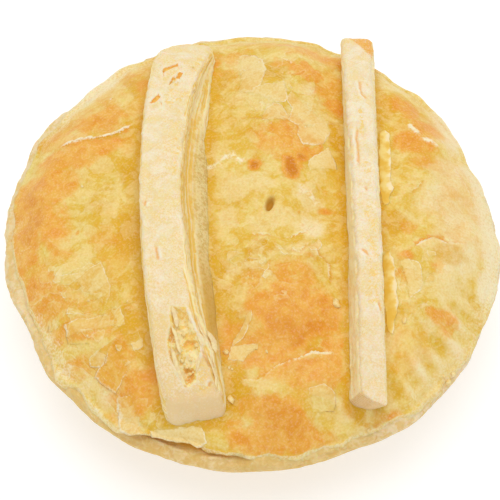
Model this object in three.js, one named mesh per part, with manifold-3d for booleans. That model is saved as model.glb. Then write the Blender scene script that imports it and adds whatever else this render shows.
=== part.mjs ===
// A round savoury pie: a tapered pastry case with a standing rim, a domed flaky lid
// that lies on the rim, and two strips of puff pastry laid side by side across the lid.
// Millimetres, +Z up. The origin is at the middle of the flat base. +Y points to the back.
import * as THREE from "three";
import { mergeVertices } from "three/addons/utils/BufferGeometryUtils.js";
import Module from "manifold-3d";

// Driving dimensions of the case.
const RIM_RADIUS = 57;
const RIM_TOP = 22;
const RIM_THICKNESS = 4.6;
const RIM_OVERHANG = 4.5;
const WALL_TAPER = THREE.MathUtils.degToRad(25);
const BASE_CORNER = 1.6;
const RIM_DROOP = 0.15;

// Waves round the pie, each with its count, height and phase: the outline's departures from
// a circle, the lid's ragged edge and the sag of the rim.
const OUTLINE_WAVES = [[2, 0.35, 1.7], [3, 0.3, 1.85], [4, 0.3, 1.15], [9, 0.22, 0.6], [16, 0.16, 2.4]];
const LID_EDGE_WAVES = [[23, 0.22, 1], [37, 0.16, 2]];
const RIM_WAVES = [[13, 0.15, 1.6], [29, 0.08, 2.6]];

// The filled case is heaped towards the middle, and the lid's underside follows it.
const HEAP_HEIGHT = 1.6;
const HEAP_RADIUS = 48;

// Driving dimensions of the lid. Its edge sags onto the rim. The seam is the crack between the two.
const LID_RADIUS = 55;
const LID_SHIFT = 0.8;
const LID_EDGE = 2.6;
const LID_UNDERCUT = 0.4;
const EDGE_SAG = 1.2;
const SAG_STARTS = { from: 0.86, to: 1 };
const DOME_RISE = 11;
const DOME_FULLNESS = 2.6;
const DOME_SHOULDER = 0.75;
const SEAM = 0.3;

// Relief of the lid: soft swells, crimps round the edge, flakes of the top sheet, a dip along each strip.
// Where relief starts or ends is a share of the way from the lid's middle to its edge. A flake's lobes
// have their count, their height as a share of its size, and how many times its own turn they take.
const SWELL_HEIGHT = 0.55;
const SWELL_LENGTH = 30;
const SWELL_COUNT = 6;
const RELIEF_ENDS = { from: 0.86, to: 0.99 };
const CRIMP_COUNT = 38;
const CRIMP_HEIGHT = 0.45;
const CRIMP_STARTS = { from: 0.72, to: 0.9 };
const CRIMP_ENDS = { from: 0.93, to: 1 };
const FLAKE_COUNT = 54;
const FLAKE_FIELD = 50;
const FLAKE_SIZE = 8.5;
const FLAKE_LIFT = 0.85;
const FLAKE_LIP = 1.1;
const FLAKE_STARTS = { from: 0.04, to: 0.22 };
const FLAKE_LOBES = [[2, 0.24, 1], [3, 0.13, -2], [7, 0.06, 1]];
const DIP_DEPTH = 1.3;
const DIP_WIDTH = 11;

// The steam hole in the lid.
const VENT = { x: 4.5, y: 0.4, length: 2.2, width: 1.1, depth: 3.5, turn: THREE.MathUtils.degToRad(70) };

// The strips. Each path is a cubic curve from the front end to the back end, in plan.
// Sizes with three values are at the front, the middle and the back. The skew is how far the back
// end's left corner lies nearer to the front.
const LEFT_STRIP = {
  name: "pastry_strip_left",
  path: [[-11.4, -49.6], [-17.1, -17], [-19.3, 17], [-14.7, 48.4]],
  foot: [13.8, 15.3, 13.7],
  top: [13.4, 9.8, 13.6],
  lean: [-0.3, -2.9, 0],
  height: [8.6, 8.4, 5.2],
  bevel: 3.2,
  skew: 2.6,
  across: 8,
};
const RIGHT_STRIP = {
  name: "pastry_strip_right",
  path: [[25.4, -46.8], [25.6, -16], [25.2, 16], [26.4, 48.6]],
  foot: [8.6, 7.8, 7.8],
  top: [5.8, 6.2, 7.9],
  lean: [1, 0.2, -1.1],
  height: [8.4, 8.6, 8],
  bevel: 1.8,
  skew: 0,
  across: 6,
};
const STRIPS = [LEFT_STRIP, RIGHT_STRIP];
const STRIP_STEPS = 36;
const STRIP_LAYERS = 3;
const STRIP_SUNK = 3;
const STRIP_FLOOR = 1.8;
const CORNER_ROUND = 0.22;
const STRIP_SWELL = 0.3;

// The burst blister near the front end of the left strip: a long shallow pocket in its top.
const POCKET = { along: 0.115, across: 0.09, length: 0.11, width: 0.52, depth: 1.9 };

// Layers that have peeled from the right strip's outer side and stand out over the lid.
const PEELED_LAYERS = [
  { front: 3, back: 24, reach: 3.4, height: 3 },
  { front: -28, back: -9, reach: 3.8, height: 3.4 },
];
const PEEL_THICKNESS = 0.8;
const PEEL_ROOT = 2;
const PEEL_STEPS = 8;

// Mesh steps round the pie and from the middle of the lid to its edge.
const AROUND = 88;
const LID_RINGS = 26;

// Steps that never repeat, by which scattered things get their places, sizes and turns.
const GOLDEN_ANGLE = Math.PI * (3 - Math.sqrt(5));
const GOLDEN = (Math.sqrt(5) - 1) / 2;
const PLASTIC = 0.754878;
const PLASTIC_SQUARED = PLASTIC ** 2;

const { clamp, lerp, smoothstep } = THREE.MathUtils;

const fraction = (value) => value - Math.floor(value);

// A smooth value that runs through three given ones as share goes from 0 to 1.
function through([front, middle, back], share) {
  const a = 2 * (share - 0.5) * (share - 1);
  const b = 4 * share * (1 - share);
  const c = 2 * share * (share - 0.5);
  return a * front + b * middle + c * back;
}

// From 0 to 1 across a band.
const ramp = (value, { from, to }) => smoothstep(value, from, to);

// The sum of some waves at an angle round the pie.
function waves(list, angle) {
  return list.reduce((sum, [count, height, phase]) => sum + height * Math.cos(count * angle + phase), 0);
}

// Each strip's middle line in plan.
for (const strip of STRIPS) {
  const corners = strip.path.map(([x, y]) => new THREE.Vector2(x, y));
  strip.curve = new THREE.CubicBezierCurve(...corners);
}

// The lid sinks a little along each strip, where the strip held it down as it puffed up.
function stripDip(x, y) {
  let dip = 0;
  for (const strip of STRIPS) {
    const [front, , , back] = strip.path;
    const share = clamp((y - front[1]) / (back[1] - front[1]), 0, 1);
    const off = x - strip.curve.getPoint(share).x;
    dip -= DIP_DEPTH * Math.exp(-((off / DIP_WIDTH) ** 2));
  }
  return dip;
}

// Broad soft bulges of the lid: a few waves that cross each other at the golden angle.
function swell(x, y) {
  let height = 0;
  for (let i = 0; i < SWELL_COUNT; i++) {
    const length = SWELL_LENGTH / (1 + 0.45 * i);
    const along = x * Math.cos(i * GOLDEN_ANGLE) + y * Math.sin(i * GOLDEN_ANGLE);
    height += (SWELL_HEIGHT / (1 + 0.5 * i)) * Math.sin((2 * Math.PI * along) / length + 1.7 * i);
  }
  return height;
}

// The flakes lie all over the lid, each lifted along one side and sunk into the sheet on the other.
const FLAKES = Array.from({ length: FLAKE_COUNT }, (_, i) => {
  const radius = FLAKE_FIELD * Math.sqrt((i + 0.5) / FLAKE_COUNT);
  return {
    x: radius * Math.cos(i * GOLDEN_ANGLE),
    y: radius * Math.sin(i * GOLDEN_ANGLE),
    size: FLAKE_SIZE * lerp(0.6, 1.4, fraction(i * GOLDEN)),
    lifted: 2 * Math.PI * fraction(i * PLASTIC),
    turn: 2 * Math.PI * fraction(i * PLASTIC_SQUARED),
  };
});

function flakeRelief(x, y) {
  let height = 0;
  for (const flake of FLAKES) {
    const distance = Math.hypot(x - flake.x, y - flake.y);
    const angle = Math.atan2(y - flake.y, x - flake.x);
    const lobe = ([count, height, turns]) => height * Math.sin(count * angle + turns * flake.turn);
    const reach = flake.size * FLAKE_LOBES.reduce((sum, shape) => sum + lobe(shape), 1);
    if (distance >= reach) continue;
    const rise = 0.5 + 0.5 * (distance / reach) * Math.cos(angle - flake.lifted);
    height += FLAKE_LIFT * rise ** 1.5 * (1 - smoothstep(distance, reach - FLAKE_LIP, reach));
  }
  return height;
}

// How much higher than the rim the filled case is.
function heap(x, y) {
  return HEAP_HEIGHT * Math.max(0, 1 - (x * x + y * y) / HEAP_RADIUS ** 2);
}

// Radius of the lid's edge at an angle round its own middle.
function lidReach(angle) {
  return LID_RADIUS + waves(OUTLINE_WAVES, angle) + waves(LID_EDGE_WAVES, angle);
}

// Where a plan point lies on the lid: its angle, and its share of the way to the edge.
function lidPlace(x, y) {
  const angle = Math.atan2(y, x - LID_SHIFT);
  const share = Math.min(Math.hypot(x - LID_SHIFT, y) / lidReach(angle), 1);
  return { angle, share, inside: 1 - ramp(share, RELIEF_ENDS) };
}

const LID_BOTTOM = RIM_TOP + SEAM;

// Height of the lid's plain dome, on which the strips lie. Its relief dies out towards the edge.
function domeTop(x, y) {
  const { share, inside } = lidPlace(x, y);
  const dome = DOME_RISE * (1 - share ** DOME_FULLNESS) ** DOME_SHOULDER;
  return LID_BOTTOM + LID_EDGE + dome + inside * stripDip(x, y);
}

// Height of the lid's top with all its relief. The flakes leave the middle plain.
function lidTop(x, y) {
  const { angle, share, inside } = lidPlace(x, y);
  const flakes = ramp(share, FLAKE_STARTS) * flakeRelief(x, y);
  const crimped = ramp(share, CRIMP_STARTS) * (1 - ramp(share, CRIMP_ENDS));
  const crimp = CRIMP_HEIGHT * Math.sin(CRIMP_COUNT * angle);
  const sag = EDGE_SAG * ramp(share, SAG_STARTS);
  return domeTop(x, y) + inside * (swell(x, y) + flakes) + crimped * crimp - sag;
}

const wasm = await Module();
wasm.setup();

// A closed geometry as a solid that can be joined and cut.
function solidOf(geometry) {
  const bare = geometry.clone();
  bare.deleteAttribute("normal");
  bare.deleteAttribute("uv");
  const merged = mergeVertices(bare, 1e-4);
  const vertProperties = merged.getAttribute("position").array;
  const triVerts = new Uint32Array(merged.index.array);
  return new wasm.Manifold(new wasm.Mesh({ numProp: 3, vertProperties, triVerts }));
}

function geometryOf(solid) {
  const mesh = solid.getMesh();
  const geometry = new THREE.BufferGeometry();
  geometry.setAttribute("position", new THREE.BufferAttribute(mesh.vertProperties, 3));
  geometry.setIndex(new THREE.BufferAttribute(mesh.triVerts, 1));
  geometry.computeVertexNormals();
  return geometry;
}

// Moves every vertex of a regular geometry by a rule, so that it is as uneven as hand-made food.
function reshaped(geometry, rule) {
  const position = geometry.getAttribute("position");
  const point = new THREE.Vector3();
  for (let i = 0; i < position.count; i++) {
    point.fromBufferAttribute(position, i);
    rule(point);
    position.setXYZ(i, point.x, point.y, point.z);
  }
  return geometry;
}

// A body turned about Z from a profile of [radius, height] pairs.
function turned(profile) {
  const points = profile.map(([radius, height]) => new THREE.Vector2(radius, height));
  return new THREE.LatheGeometry(points, AROUND).rotateX(Math.PI / 2);
}

// The case: a flat base, a wall that widens upwards, and a rim that stands out past the wall.
function pastryCase() {
  const rimBottom = RIM_TOP - RIM_THICKNESS;
  const wallTop = RIM_RADIUS - RIM_OVERHANG;
  const base = wallTop - rimBottom * Math.tan(WALL_TAPER);
  const profile = [
    [0, 0],
    [base * 0.6, 0],
    [base - BASE_CORNER, 0],
    [base, BASE_CORNER * 0.6],
    [lerp(base, wallTop, 0.35), rimBottom * 0.36],
    [lerp(base, wallTop, 0.7), rimBottom * 0.7],
    [wallTop, rimBottom - 1.2],
    [wallTop + 1.4, rimBottom],
    [RIM_RADIUS - 1, rimBottom + 0.5],
    [RIM_RADIUS, rimBottom + 1.7],
    [RIM_RADIUS + 0.1, RIM_TOP - 1.6],
    [RIM_RADIUS - 0.7, RIM_TOP - 0.4],
    [RIM_RADIUS - 2.4, RIM_TOP],
    [HEAP_RADIUS, RIM_TOP],
    [HEAP_RADIUS * 0.6, RIM_TOP],
    [0, RIM_TOP],
  ];
  const wavy = (point) => {
    const radius = Math.hypot(point.x, point.y);
    const angle = Math.atan2(point.y, point.x);
    const share = radius / RIM_RADIUS;
    const outer = smoothstep(radius, wallTop, RIM_RADIUS);
    const grown = radius === 0 ? 1 : 1 + (waves(OUTLINE_WAVES, angle) * share * share) / radius;
    point.x *= grown;
    point.y *= grown;
    point.z -= outer * (RIM_DROOP + waves(RIM_WAVES, angle));
    if (point.z === RIM_TOP) point.z += heap(point.x, point.y);
  };
  return solidOf(reshaped(turned(profile), wavy));
}

// The lid is turned from shares of its radius and of its height, then stretched over the dome.
function pastryLid() {
  const ringShare = (i) => lerp(i / LID_RINGS, Math.sin((0.5 * Math.PI * i) / LID_RINGS), 0.5);
  const underside = [[0, 0], [0.5, 0], [HEAP_RADIUS / LID_RADIUS, 0], [0.985, 0]];
  const edge = [[1, 0.15], [1, 0.6]];
  const top = Array.from({ length: LID_RINGS }, (_, i) => [ringShare(LID_RINGS - 1 - i), 1]);
  const stretched = (point) => {
    const share = Math.hypot(point.x, point.y);
    const angle = Math.atan2(point.y, point.x);
    const radius = share * lidReach(angle);
    const level = point.z;
    point.x = LID_SHIFT + radius * Math.cos(angle);
    point.y = radius * Math.sin(angle);
    const under = heap(point.x, point.y) + LID_UNDERCUT * smoothstep(share, 0.9, 1);
    point.z = lerp(LID_BOTTOM + under, lidTop(point.x, point.y), level);
  };
  const lid = solidOf(reshaped(turned([...underside, ...edge, ...top]), stretched));
  return lid.subtract(ventHole());
}

function ventHole() {
  const hole = new THREE.CylinderGeometry(1, 0.6, 2 * VENT.depth, 12).rotateX(Math.PI / 2);
  hole.scale(VENT.length / 2, VENT.width / 2, 1).rotateZ(VENT.turn);
  hole.translate(VENT.x, VENT.y, lidTop(VENT.x, VENT.y));
  return solidOf(hole);
}

// The pocket's depth at a place on the left strip's top, given along and across it.
function pocketDepth(along, across) {
  const lengthwise = (along - POCKET.along) / POCKET.length;
  const crosswise = (across - POCKET.across) / POCKET.width;
  return POCKET.depth * (1 - smoothstep(Math.hypot(lengthwise, crosswise), 0.55, 1));
}

// A strip starts as a box, one unit each way, and is bent along its path and over the dome.
function pastryStrip(strip) {
  const bent = (point) => {
    const share = point.y + 0.5;
    const upright = point.z + 0.5;
    const across = 2 * point.x * Math.sqrt(1 - CORNER_ROUND * 4 * point.z * point.z);
    const raised = 0.5 + point.z * Math.sqrt(1 - CORNER_ROUND * 4 * point.x * point.x);
    const width = lerp(through(strip.foot, share), through(strip.top, share), upright);
    const side = through(strip.lean, share) * upright + (across * width) / 2;
    const middle = strip.curve.getPoint(share);
    const way = strip.curve.getTangent(share);
    const skewed = strip.skew * Math.max(0, -across) * share ** 16;
    const slant = strip.bevel * upright * (1 - share) ** 12 - skewed;
    const x = middle.x + way.y * side + way.x * slant;
    const y = middle.y - way.x * side + way.y * slant;
    const bumps = STRIP_SWELL * Math.sin(0.31 * y + 2 * across) * Math.cos(0.17 * y + across);
    const dent = strip === LEFT_STRIP ? pocketDepth(share, across) : 0;
    const height = through(strip.height, share) + bumps - dent;
    const floor = Math.max(domeTop(x, y) - STRIP_SUNK, LID_BOTTOM + STRIP_FLOOR);
    point.set(x, y, lerp(floor, domeTop(middle.x, middle.y) + height, raised));
  };
  const box = new THREE.BoxGeometry(1, 1, 1, strip.across, STRIP_STEPS, STRIP_LAYERS);
  return solidOf(reshaped(box, bent));
}

// A thin layer that leans out from the foot of the right strip's outer side.
function peeledLayer(layer) {
  const box = new THREE.BoxGeometry(1, 1, 1, 1, PEEL_STEPS, 1);
  const [front, , , back] = RIGHT_STRIP.path;
  const leaned = (point) => {
    const along = point.y + 0.5;
    const out = point.x + 0.5;
    const y = lerp(layer.front, layer.back, along);
    const middle = RIGHT_STRIP.curve.getPoint((y - front[1]) / (back[1] - front[1]));
    const root = middle.x + RIGHT_STRIP.foot[1] / 2 - PEEL_ROOT;
    const tapered = Math.sin(Math.PI * lerp(0.12, 0.88, along)) ** 0.5;
    const reach = PEEL_ROOT + layer.reach * tapered;
    const foot = domeTop(middle.x, y);
    const wave = 0.3 * Math.sin(0.5 * y);
    point.set(root + out * reach, y, foot + out * (layer.height * tapered + wave) + point.z * PEEL_THICKNESS);
  };
  return solidOf(reshaped(box, leaned));
}

const SKIN = new THREE.Color(0xe6bf74);
const PALE = new THREE.Color(0xeddaad);
const TAN = new THREE.Color(0xdcb87a);
const pie = new THREE.Group();

function addPiece(name, solid, color, roughness) {
  const material = new THREE.MeshStandardMaterial({ color, roughness, metalness: 0 });
  const piece = new THREE.Mesh(geometryOf(solid), material);
  piece.name = name;
  pie.add(piece);
}

const lid = pastryLid();
const clearOfLid = lid.translate(0, 0, SEAM);
const peeled = PEELED_LAYERS.map(peeledLayer);
const rightStrip = peeled.reduce((strip, layer) => strip.add(layer), pastryStrip(RIGHT_STRIP));

addPiece("pastry_case", pastryCase(), TAN, 0.75);
addPiece("pastry_lid", lid, SKIN, 0.5);
addPiece(LEFT_STRIP.name, pastryStrip(LEFT_STRIP).subtract(clearOfLid), PALE, 0.8);
addPiece(RIGHT_STRIP.name, rightStrip.subtract(clearOfLid), PALE, 0.8);

export default pie;
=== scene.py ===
"""The looks of a round mince and cheese pie: a flaky lid, a case, two puff pastry strips, flakes and crumbs.

Sizes are in millimetres, as in the solids, until a mesh is made. Angles run anticlockwise from the right.
The last whole number that a noise takes is its seed, which only picks one noise out of many.
"""
import math

import bpy
import numpy as np
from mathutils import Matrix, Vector


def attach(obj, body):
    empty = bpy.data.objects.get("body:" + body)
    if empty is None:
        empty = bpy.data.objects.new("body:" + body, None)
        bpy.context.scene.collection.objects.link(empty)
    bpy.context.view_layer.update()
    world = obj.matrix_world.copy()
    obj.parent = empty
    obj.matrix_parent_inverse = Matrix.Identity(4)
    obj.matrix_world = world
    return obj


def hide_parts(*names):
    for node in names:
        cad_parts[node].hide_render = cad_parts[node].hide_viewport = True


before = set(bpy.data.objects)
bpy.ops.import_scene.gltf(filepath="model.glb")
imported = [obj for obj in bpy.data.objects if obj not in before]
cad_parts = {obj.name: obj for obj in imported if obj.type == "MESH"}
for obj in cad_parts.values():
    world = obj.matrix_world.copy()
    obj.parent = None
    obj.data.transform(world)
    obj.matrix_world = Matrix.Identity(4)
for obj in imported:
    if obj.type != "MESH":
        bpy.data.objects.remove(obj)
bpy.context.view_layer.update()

MM = 0.001
GOLDEN_ANGLE = math.pi * (3 - math.sqrt(5))

# The case and the lid, as in the solids. A wave round the pie has its count, height and phase.
RIM_RADIUS = 57
RIM_TOP = 22
RIM_THICKNESS = 4.6
RIM_OVERHANG = 4.5
WALL_TAPER = math.radians(25)
BASE_CORNER = 1.6
RIM_DROOP = 0.15
OUTLINE_WAVES = [(2, 0.35, 1.7), (3, 0.3, 1.85), (4, 0.3, 1.15), (9, 0.22, 0.6), (16, 0.16, 2.4)]
LID_EDGE_WAVES = [(23, 0.22, 1), (37, 0.16, 2)]
RIM_WAVES = [(13, 0.15, 1.6), (29, 0.08, 2.6)]
LID_RADIUS = 55
LID_SHIFT = 0.8
LID_EDGE = 2.6
DOME_RISE = 11
DOME_FULLNESS = 2.6
DOME_SHOULDER = 0.75
SEAM = 0.3
LID_BOTTOM = RIM_TOP + SEAM
RELIEF_ENDS = (0.86, 0.99)
SWELL_HEIGHT = 0.55
SWELL_LENGTH = 30
SWELL_COUNT = 6
DIP_DEPTH = 1.3
DIP_WIDTH = 11

# The strips, as in the solids. Sizes with three values are at the front, the middle and the back.
# skew: how far the back end's left corner lies nearer to the front.
# ledge: how far the right side stands out at its foot in a step rather than a slope.
# tip: how far the left, middle and right of the front end are drawn back, at the foot and at the top.
# round: how round the front end and the back end are, and how much more so at the back's left and right.
LEFT_STRIP = {
    "path": [(-11.4, -49.6), (-17.1, -17), (-19.3, 17), (-14.7, 48.4)],
    "foot": (13.8, 15.3, 13.7),
    "top": (13.4, 9.8, 13.6),
    "lean": (-0.3, -2.9, 0),
    "height": (8.6, 8.4, 5.2),
    "skew": 2.6,
    "ledge": 0.8,
    "tip": ((0, 0, 0), (2, 2, 2)),
    "round": (3.8, 4, 2.5, 1.3),
}
RIGHT_STRIP = {
    "path": [(25.4, -46.8), (25.6, -16), (25.2, 16), (26.4, 48.6)],
    "foot": (8.6, 7.8, 7.8),
    "top": (5.8, 6.2, 7.9),
    "lean": (1, 0.2, -1.1),
    "height": (8.4, 8.6, 8),
    "skew": 0,
    "ledge": 0,
    "tip": ((3.05, 1.5, 3.05), (0.8, -1.8, -2.7)),
    "round": (0.9, 1.4, 0.2, 0.2),
}
STRIPS = [LEFT_STRIP, RIGHT_STRIP]
STRIP_SUNK = 3
STRIP_FLOOR = 1.8

# Folds pressed across the lid's edge at the right of the front: how many would go round, how high they
# stand, and where one lies.
CRIMP_COUNT = 66
CRIMP_HEIGHT = 0.7
CRIMP_WAY = -45

# How far the lid's edge falls below the dome: where it lies on the rim, and where it gapes.
EDGE_FALL = 2.4
GAPING_FALL = 0.4

# Places where the edge of the lid or the rim stands out or in: angle and half width in degrees, and how far.
LID_BULGES = [
    (93, 12, 0.7), (129, 13, 1.1), (40, 10, 0.5), (-161, 12, -1.9), (-139, 4, 1.3), (-122, 6, 1.9),
    (-106, 5, -1.3), (-47, 8, 0.5), (20, 16, -0.5),
]
RIM_BULGES = [(-98, 32, 1), (-55, 12, 1), (-157, 9, -1.5), (20, 16, -0.7)]

# Places round the lid where its edge is pale, partly painted light on its slope: angle and half width in
# degrees, and how much.
PALE_EDGE = [
    (-12, 16, 1), (10, 14, 0.5), (178, 5, 0.5), (150, 8, 0.4), (132, 16, 1), (105, 12, 0.4),
    (75, 18, 0.5), (42, 18, 0.4),
]

# The vent in the lid: its middle, size and direction, how deep it is and how far its lip stands up.
VENT = {"x": 4.5, "y": 0.4, "length": 3.5, "width": 1.8, "turn": math.radians(70), "depth": 1.3, "lip": 0.3}

# Cracks in the lid's top sheet: how high the torn lip stands, how far in it is lifted, and the line
# of the crack in plan, with the lifted side on its left. Only the first one's lip is unbroken.
CRACKS = [
    (0.5, 7, [(-45, 20.5), (-41, 21), (-36, 21.5), (-31.5, 22), (-27, 24)]),
    (0.3, 4, [(-37, 33.5), (-34, 33.5), (-32, 34)]),
    (0.35, 4, [(-25.5, -36.5), (-26.5, -38.5), (-28, -40), (-29, -41.5)]),
    (0.3, 5, [(1.5, 42), (2.5, 44.5), (1, 46), (-2, 45), (-6.5, 44)]),
    (0.35, 4, [(7, 44.5), (9.5, 43), (10, 41.5)]),
    (0.35, 5, [(5, 19.5), (5, 22.5), (4, 23.5), (-1, 24.5), (-4, 23.5)]),
    (0.35, 6, [(-1, -7.5), (2.5, -7.5), (7, -8.5), (9.5, -8), (12, -6.5), (14.5, -4.5)]),
    (0.35, 5, [(2.5, -14), (-1, -14), (-2, -15), (-4.5, -15.5), (-8, -17)]),
    (0.3, 5, [(3.5, -18.5), (0, -17.5), (-2.5, -18), (-4.5, -20), (-7.5, -22.5)]),
    (0.3, 4, [(8.5, -11.5), (11, -12.5), (12.5, -10.5), (14.5, -9)]),
    (0.35, 4, [(17.5, -19), (17.5, -16.5), (17.5, -14), (15.5, -12.5), (14.5, -9.5)]),
    (0.2, 4, [(52.5, 6.5), (48, 15.5), (46.5, 19), (43, 21)]),
    (0.25, 4, [(36.5, 5), (38.5, 7), (40, 8.5)]),
    (0.25, 4, [(-54, -5.5), (-48.5, -6), (-44, -5.5)]),
    (0.7, 9, [(18.5, -34.5), (16, -35), (13.5, -35), (10, -36.5), (6, -38), (3, -40.5), (1, -41.5),
      (-3.5, -41)]),
    (0.7, 7, [(49, -5.5), (45, -7), (41.5, -6), (39, -7), (36.5, -9), (34.5, -10)]),
]

# Lines along which the top sheet has crumbled to pale grit: half their width, and the line in plan.
CRUMBLED = [
    (0.8, [(-10.5, 11.5), (-7.5, 12.5), (-6, 14), (-4, 14.5), (-2.5, 13.5), (-1, 12.5)]),
    (0.8, [(11, 6), (11.5, 5), (13, 4), (15.5, 1)]),
    (0.7, [(36.5, 25.5), (38.5, 23.5), (40, 22), (42, 21.5), (44.5, 20.5)]),
    (0.6, [(18.5, -34.5), (16, -35), (13.5, -35)]),
    (0.7, [(-50, -22), (-47, -29), (-44, -34), (-41, -37)]),
    (0.3, [(-45, 20.5), (-41, 21), (-36, 21.5), (-31.5, 22), (-27, 24)]),
    (0.5, [(-28.6, -42), (-28.8, -45), (-28.4, -49)]),
    (0.7, [(-36, -42), (-34, -44.5), (-32, -46)]),
]

# Stands for a distance beyond every crack, hole and blister.
FAR_OFF = 9.0

# Zones where the top sheet has broken into flakes: middle and reach.
FLAKY_ZONES = [(-34, -29, 17), (8, 33, 15), (5, -14, 12), (36, -16, 9), (-24, -46, 9), (-44, -20, 9)]
# The large and the small flakes there: their size, how high they may lie, and their seed.
BROKEN_SIZES = [(8, 0.22, 21), (3.6, 0.14, 31)]

# Patches of the lid: middle in plan, reach along X and Y, and strength.
# Baked patches are orange, and brown where the strength is over 1.
BAKED = [
    (-51, -2, 8, 16, 1.1), (-46, -4, 5, 5, 0.9), (-33, -7, 5, 4, 0.4), (-27, 29, 4, 6, 0.4),
    (-47, -13, 7, 7, 0.65), (-46, 9, 6, 6, 0.85), (-36, 28, 11, 7, 0.95), (-44, 24, 6, 5, 0.65),
    (-38, 18, 10, 4.5, 0.85), (-45, 17, 5, 4, 0.9), (-46, -20, 7, 6, 0.6), (-38, -20, 5, 3, 0.4),
    (-36, -16, 10, 8, 0.3), (-37, -28, 7, 3.5, 0.7), (-37, -35, 5, 3.5, 0.55), (-29, -37, 6, 6, 0.5),
    (-25, -45, 5, 3, 0.6), (9, -26, 11, 9, 1), (11, -31, 8, 4, 1.1), (3, -35, 9, 4, 0.9),
    (6, -50, 8, 5, 1), (11, -52, 8, 3.5, 0.9), (1, -53, 5, 3.5, 0.9), (8, -45, 8, 6, 0.25),
    (14, -39, 6, 4, 0.8), (10, -40, 8, 4, 0.7), (5, -18, 8, 5, 0.55), (29, -48, 4, 3, 0.4),
    (37, 31, 4, 5, 0.7), (41, 25, 5, 3.5, 0.8), (38, 20, 6, 4, 0.85), (40, 15, 4, 4, 0.5),
    (43, -25, 4, 3, 0.75), (42, -13, 2.5, 2, 0.5), (35, -16, 3, 2, 0.6), (35, -11, 3.5, 1.5, 0.7),
    (32.5, -46, 2.5, 2, 0.85), (36, -4, 2.5, 2, 0.5), (15, 47, 9, 3.5, 0.65), (13, 40, 5, 3, 0.9),
    (19, 36, 4.5, 6, 0.45), (20, 30, 3.5, 5, 0.7), (8, 42, 4, 2.5, 0.65), (5, 51, 6, 2.5, 0.5),
    (-5, 46, 6, 3, 0.55), (-8, 44, 3, 4, 0.65), (9, 19, 6, 5, 0.75), (4.5, 16.5, 5, 4, 0.8),
    (6, 15, 5, 2.5, 0.5), (12, 16, 5, 3, 0.8), (0, 52, 12, 3, 0.3), (-24, -42, 8, 6, 0.7),
    (-1, -32, 7, 5, 0.7), (18, -34, 3, 5, 0.75), (17.5, -42, 3, 3, 0.65), (35, -33, 5, 5, 0.35),
    (-25, 36, 4, 5, 0.6), (-22, 50, 8, 3, 0.45), (26, 47, 6, 3, 0.4), (-38, 32, 16, 13, 0.45),
    (-30, 43, 10, 6, 0.4), (48, 6, 8, 14, 0.3), (40, 25, 10, 12, 0.3), (-2, 40, 6, 8, 0.3),
    (26, -33, 3, 6, 0.3),
]
# Round spots that have caught the heat, in the same terms, soft at the edge.
SPOTS = [
    (9.6, 10.8, 2.6, 4, 1.9), (11.6, 13.6, 2.2, 2.6, 1.3), (0.8, 11.6, 1.9, 2.2, 1.5),
    (17, -0.5, 2.6, 1.7, 1), (11, -1.5, 0.8, 0.9, 0.7), (1.5, 15, 1.6, 3, 0.55), (0, -12, 1.3, 1.3, 0.6),
    (9, 24, 1, 1, 0.9), (52.5, -27, 1.5, 1.5, 1), (-39, -4, 0.6, 1, 0.9), (13.5, -13, 2, 1.2, 0.6),
    (18.5, -4.5, 0.8, 0.6, 0.7), (33, -47, 1, 1, 0.8),
]
# Bare patches have lost the top sheet, so that the deep yellow one below shows. Those along the strips' feet
# are partly painted shade.
BARE = [
    (6, 39.5, 4.5, 4, 1), (3, 42.5, 3, 1.8, 0.9), (-8, 38, 3.5, 9, 0.8), (20, 20, 2.8, 6, 1),
    (-6, 30, 4, 8, 0.5), (-7, 22, 4, 5, 0.3), (2, 20, 6, 3, 0.5), (-33, 5, 6, 5, 0.5),
    (-27, -7, 4, 7, 0.85), (-27, -28, 4, 6, 0.9), (32, 30, 3, 6, 0.6), (31.5, 13, 3.5, 13, 0.6),
    (32.5, -3, 4.5, 6, 0.9), (33, -15, 3, 8, 0.45), (-6, -27, 6, 9, 0.8), (-8, -24, 3, 5, 0.95),
    (-1, -34, 6, 4, 0.6), (-4, -40, 4, 4, 0.8), (-7, -14, 3.5, 6, 0.6), (-4, -46, 6, 6, 1),
    (-27, 25, 4, 10, 0.5), (-27, 35, 4, 7, 0.8), (-27.5, 8, 3.5, 8, 0.85), (4, -11, 7, 2, 0.65),
    (45, -10, 5, 3.5, 0.65), (-2, 1, 2.5, 1.5, 0.4), (2, -5, 4, 1.5, 0.4), (20, -6, 3, 10, 0.6),
]
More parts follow.
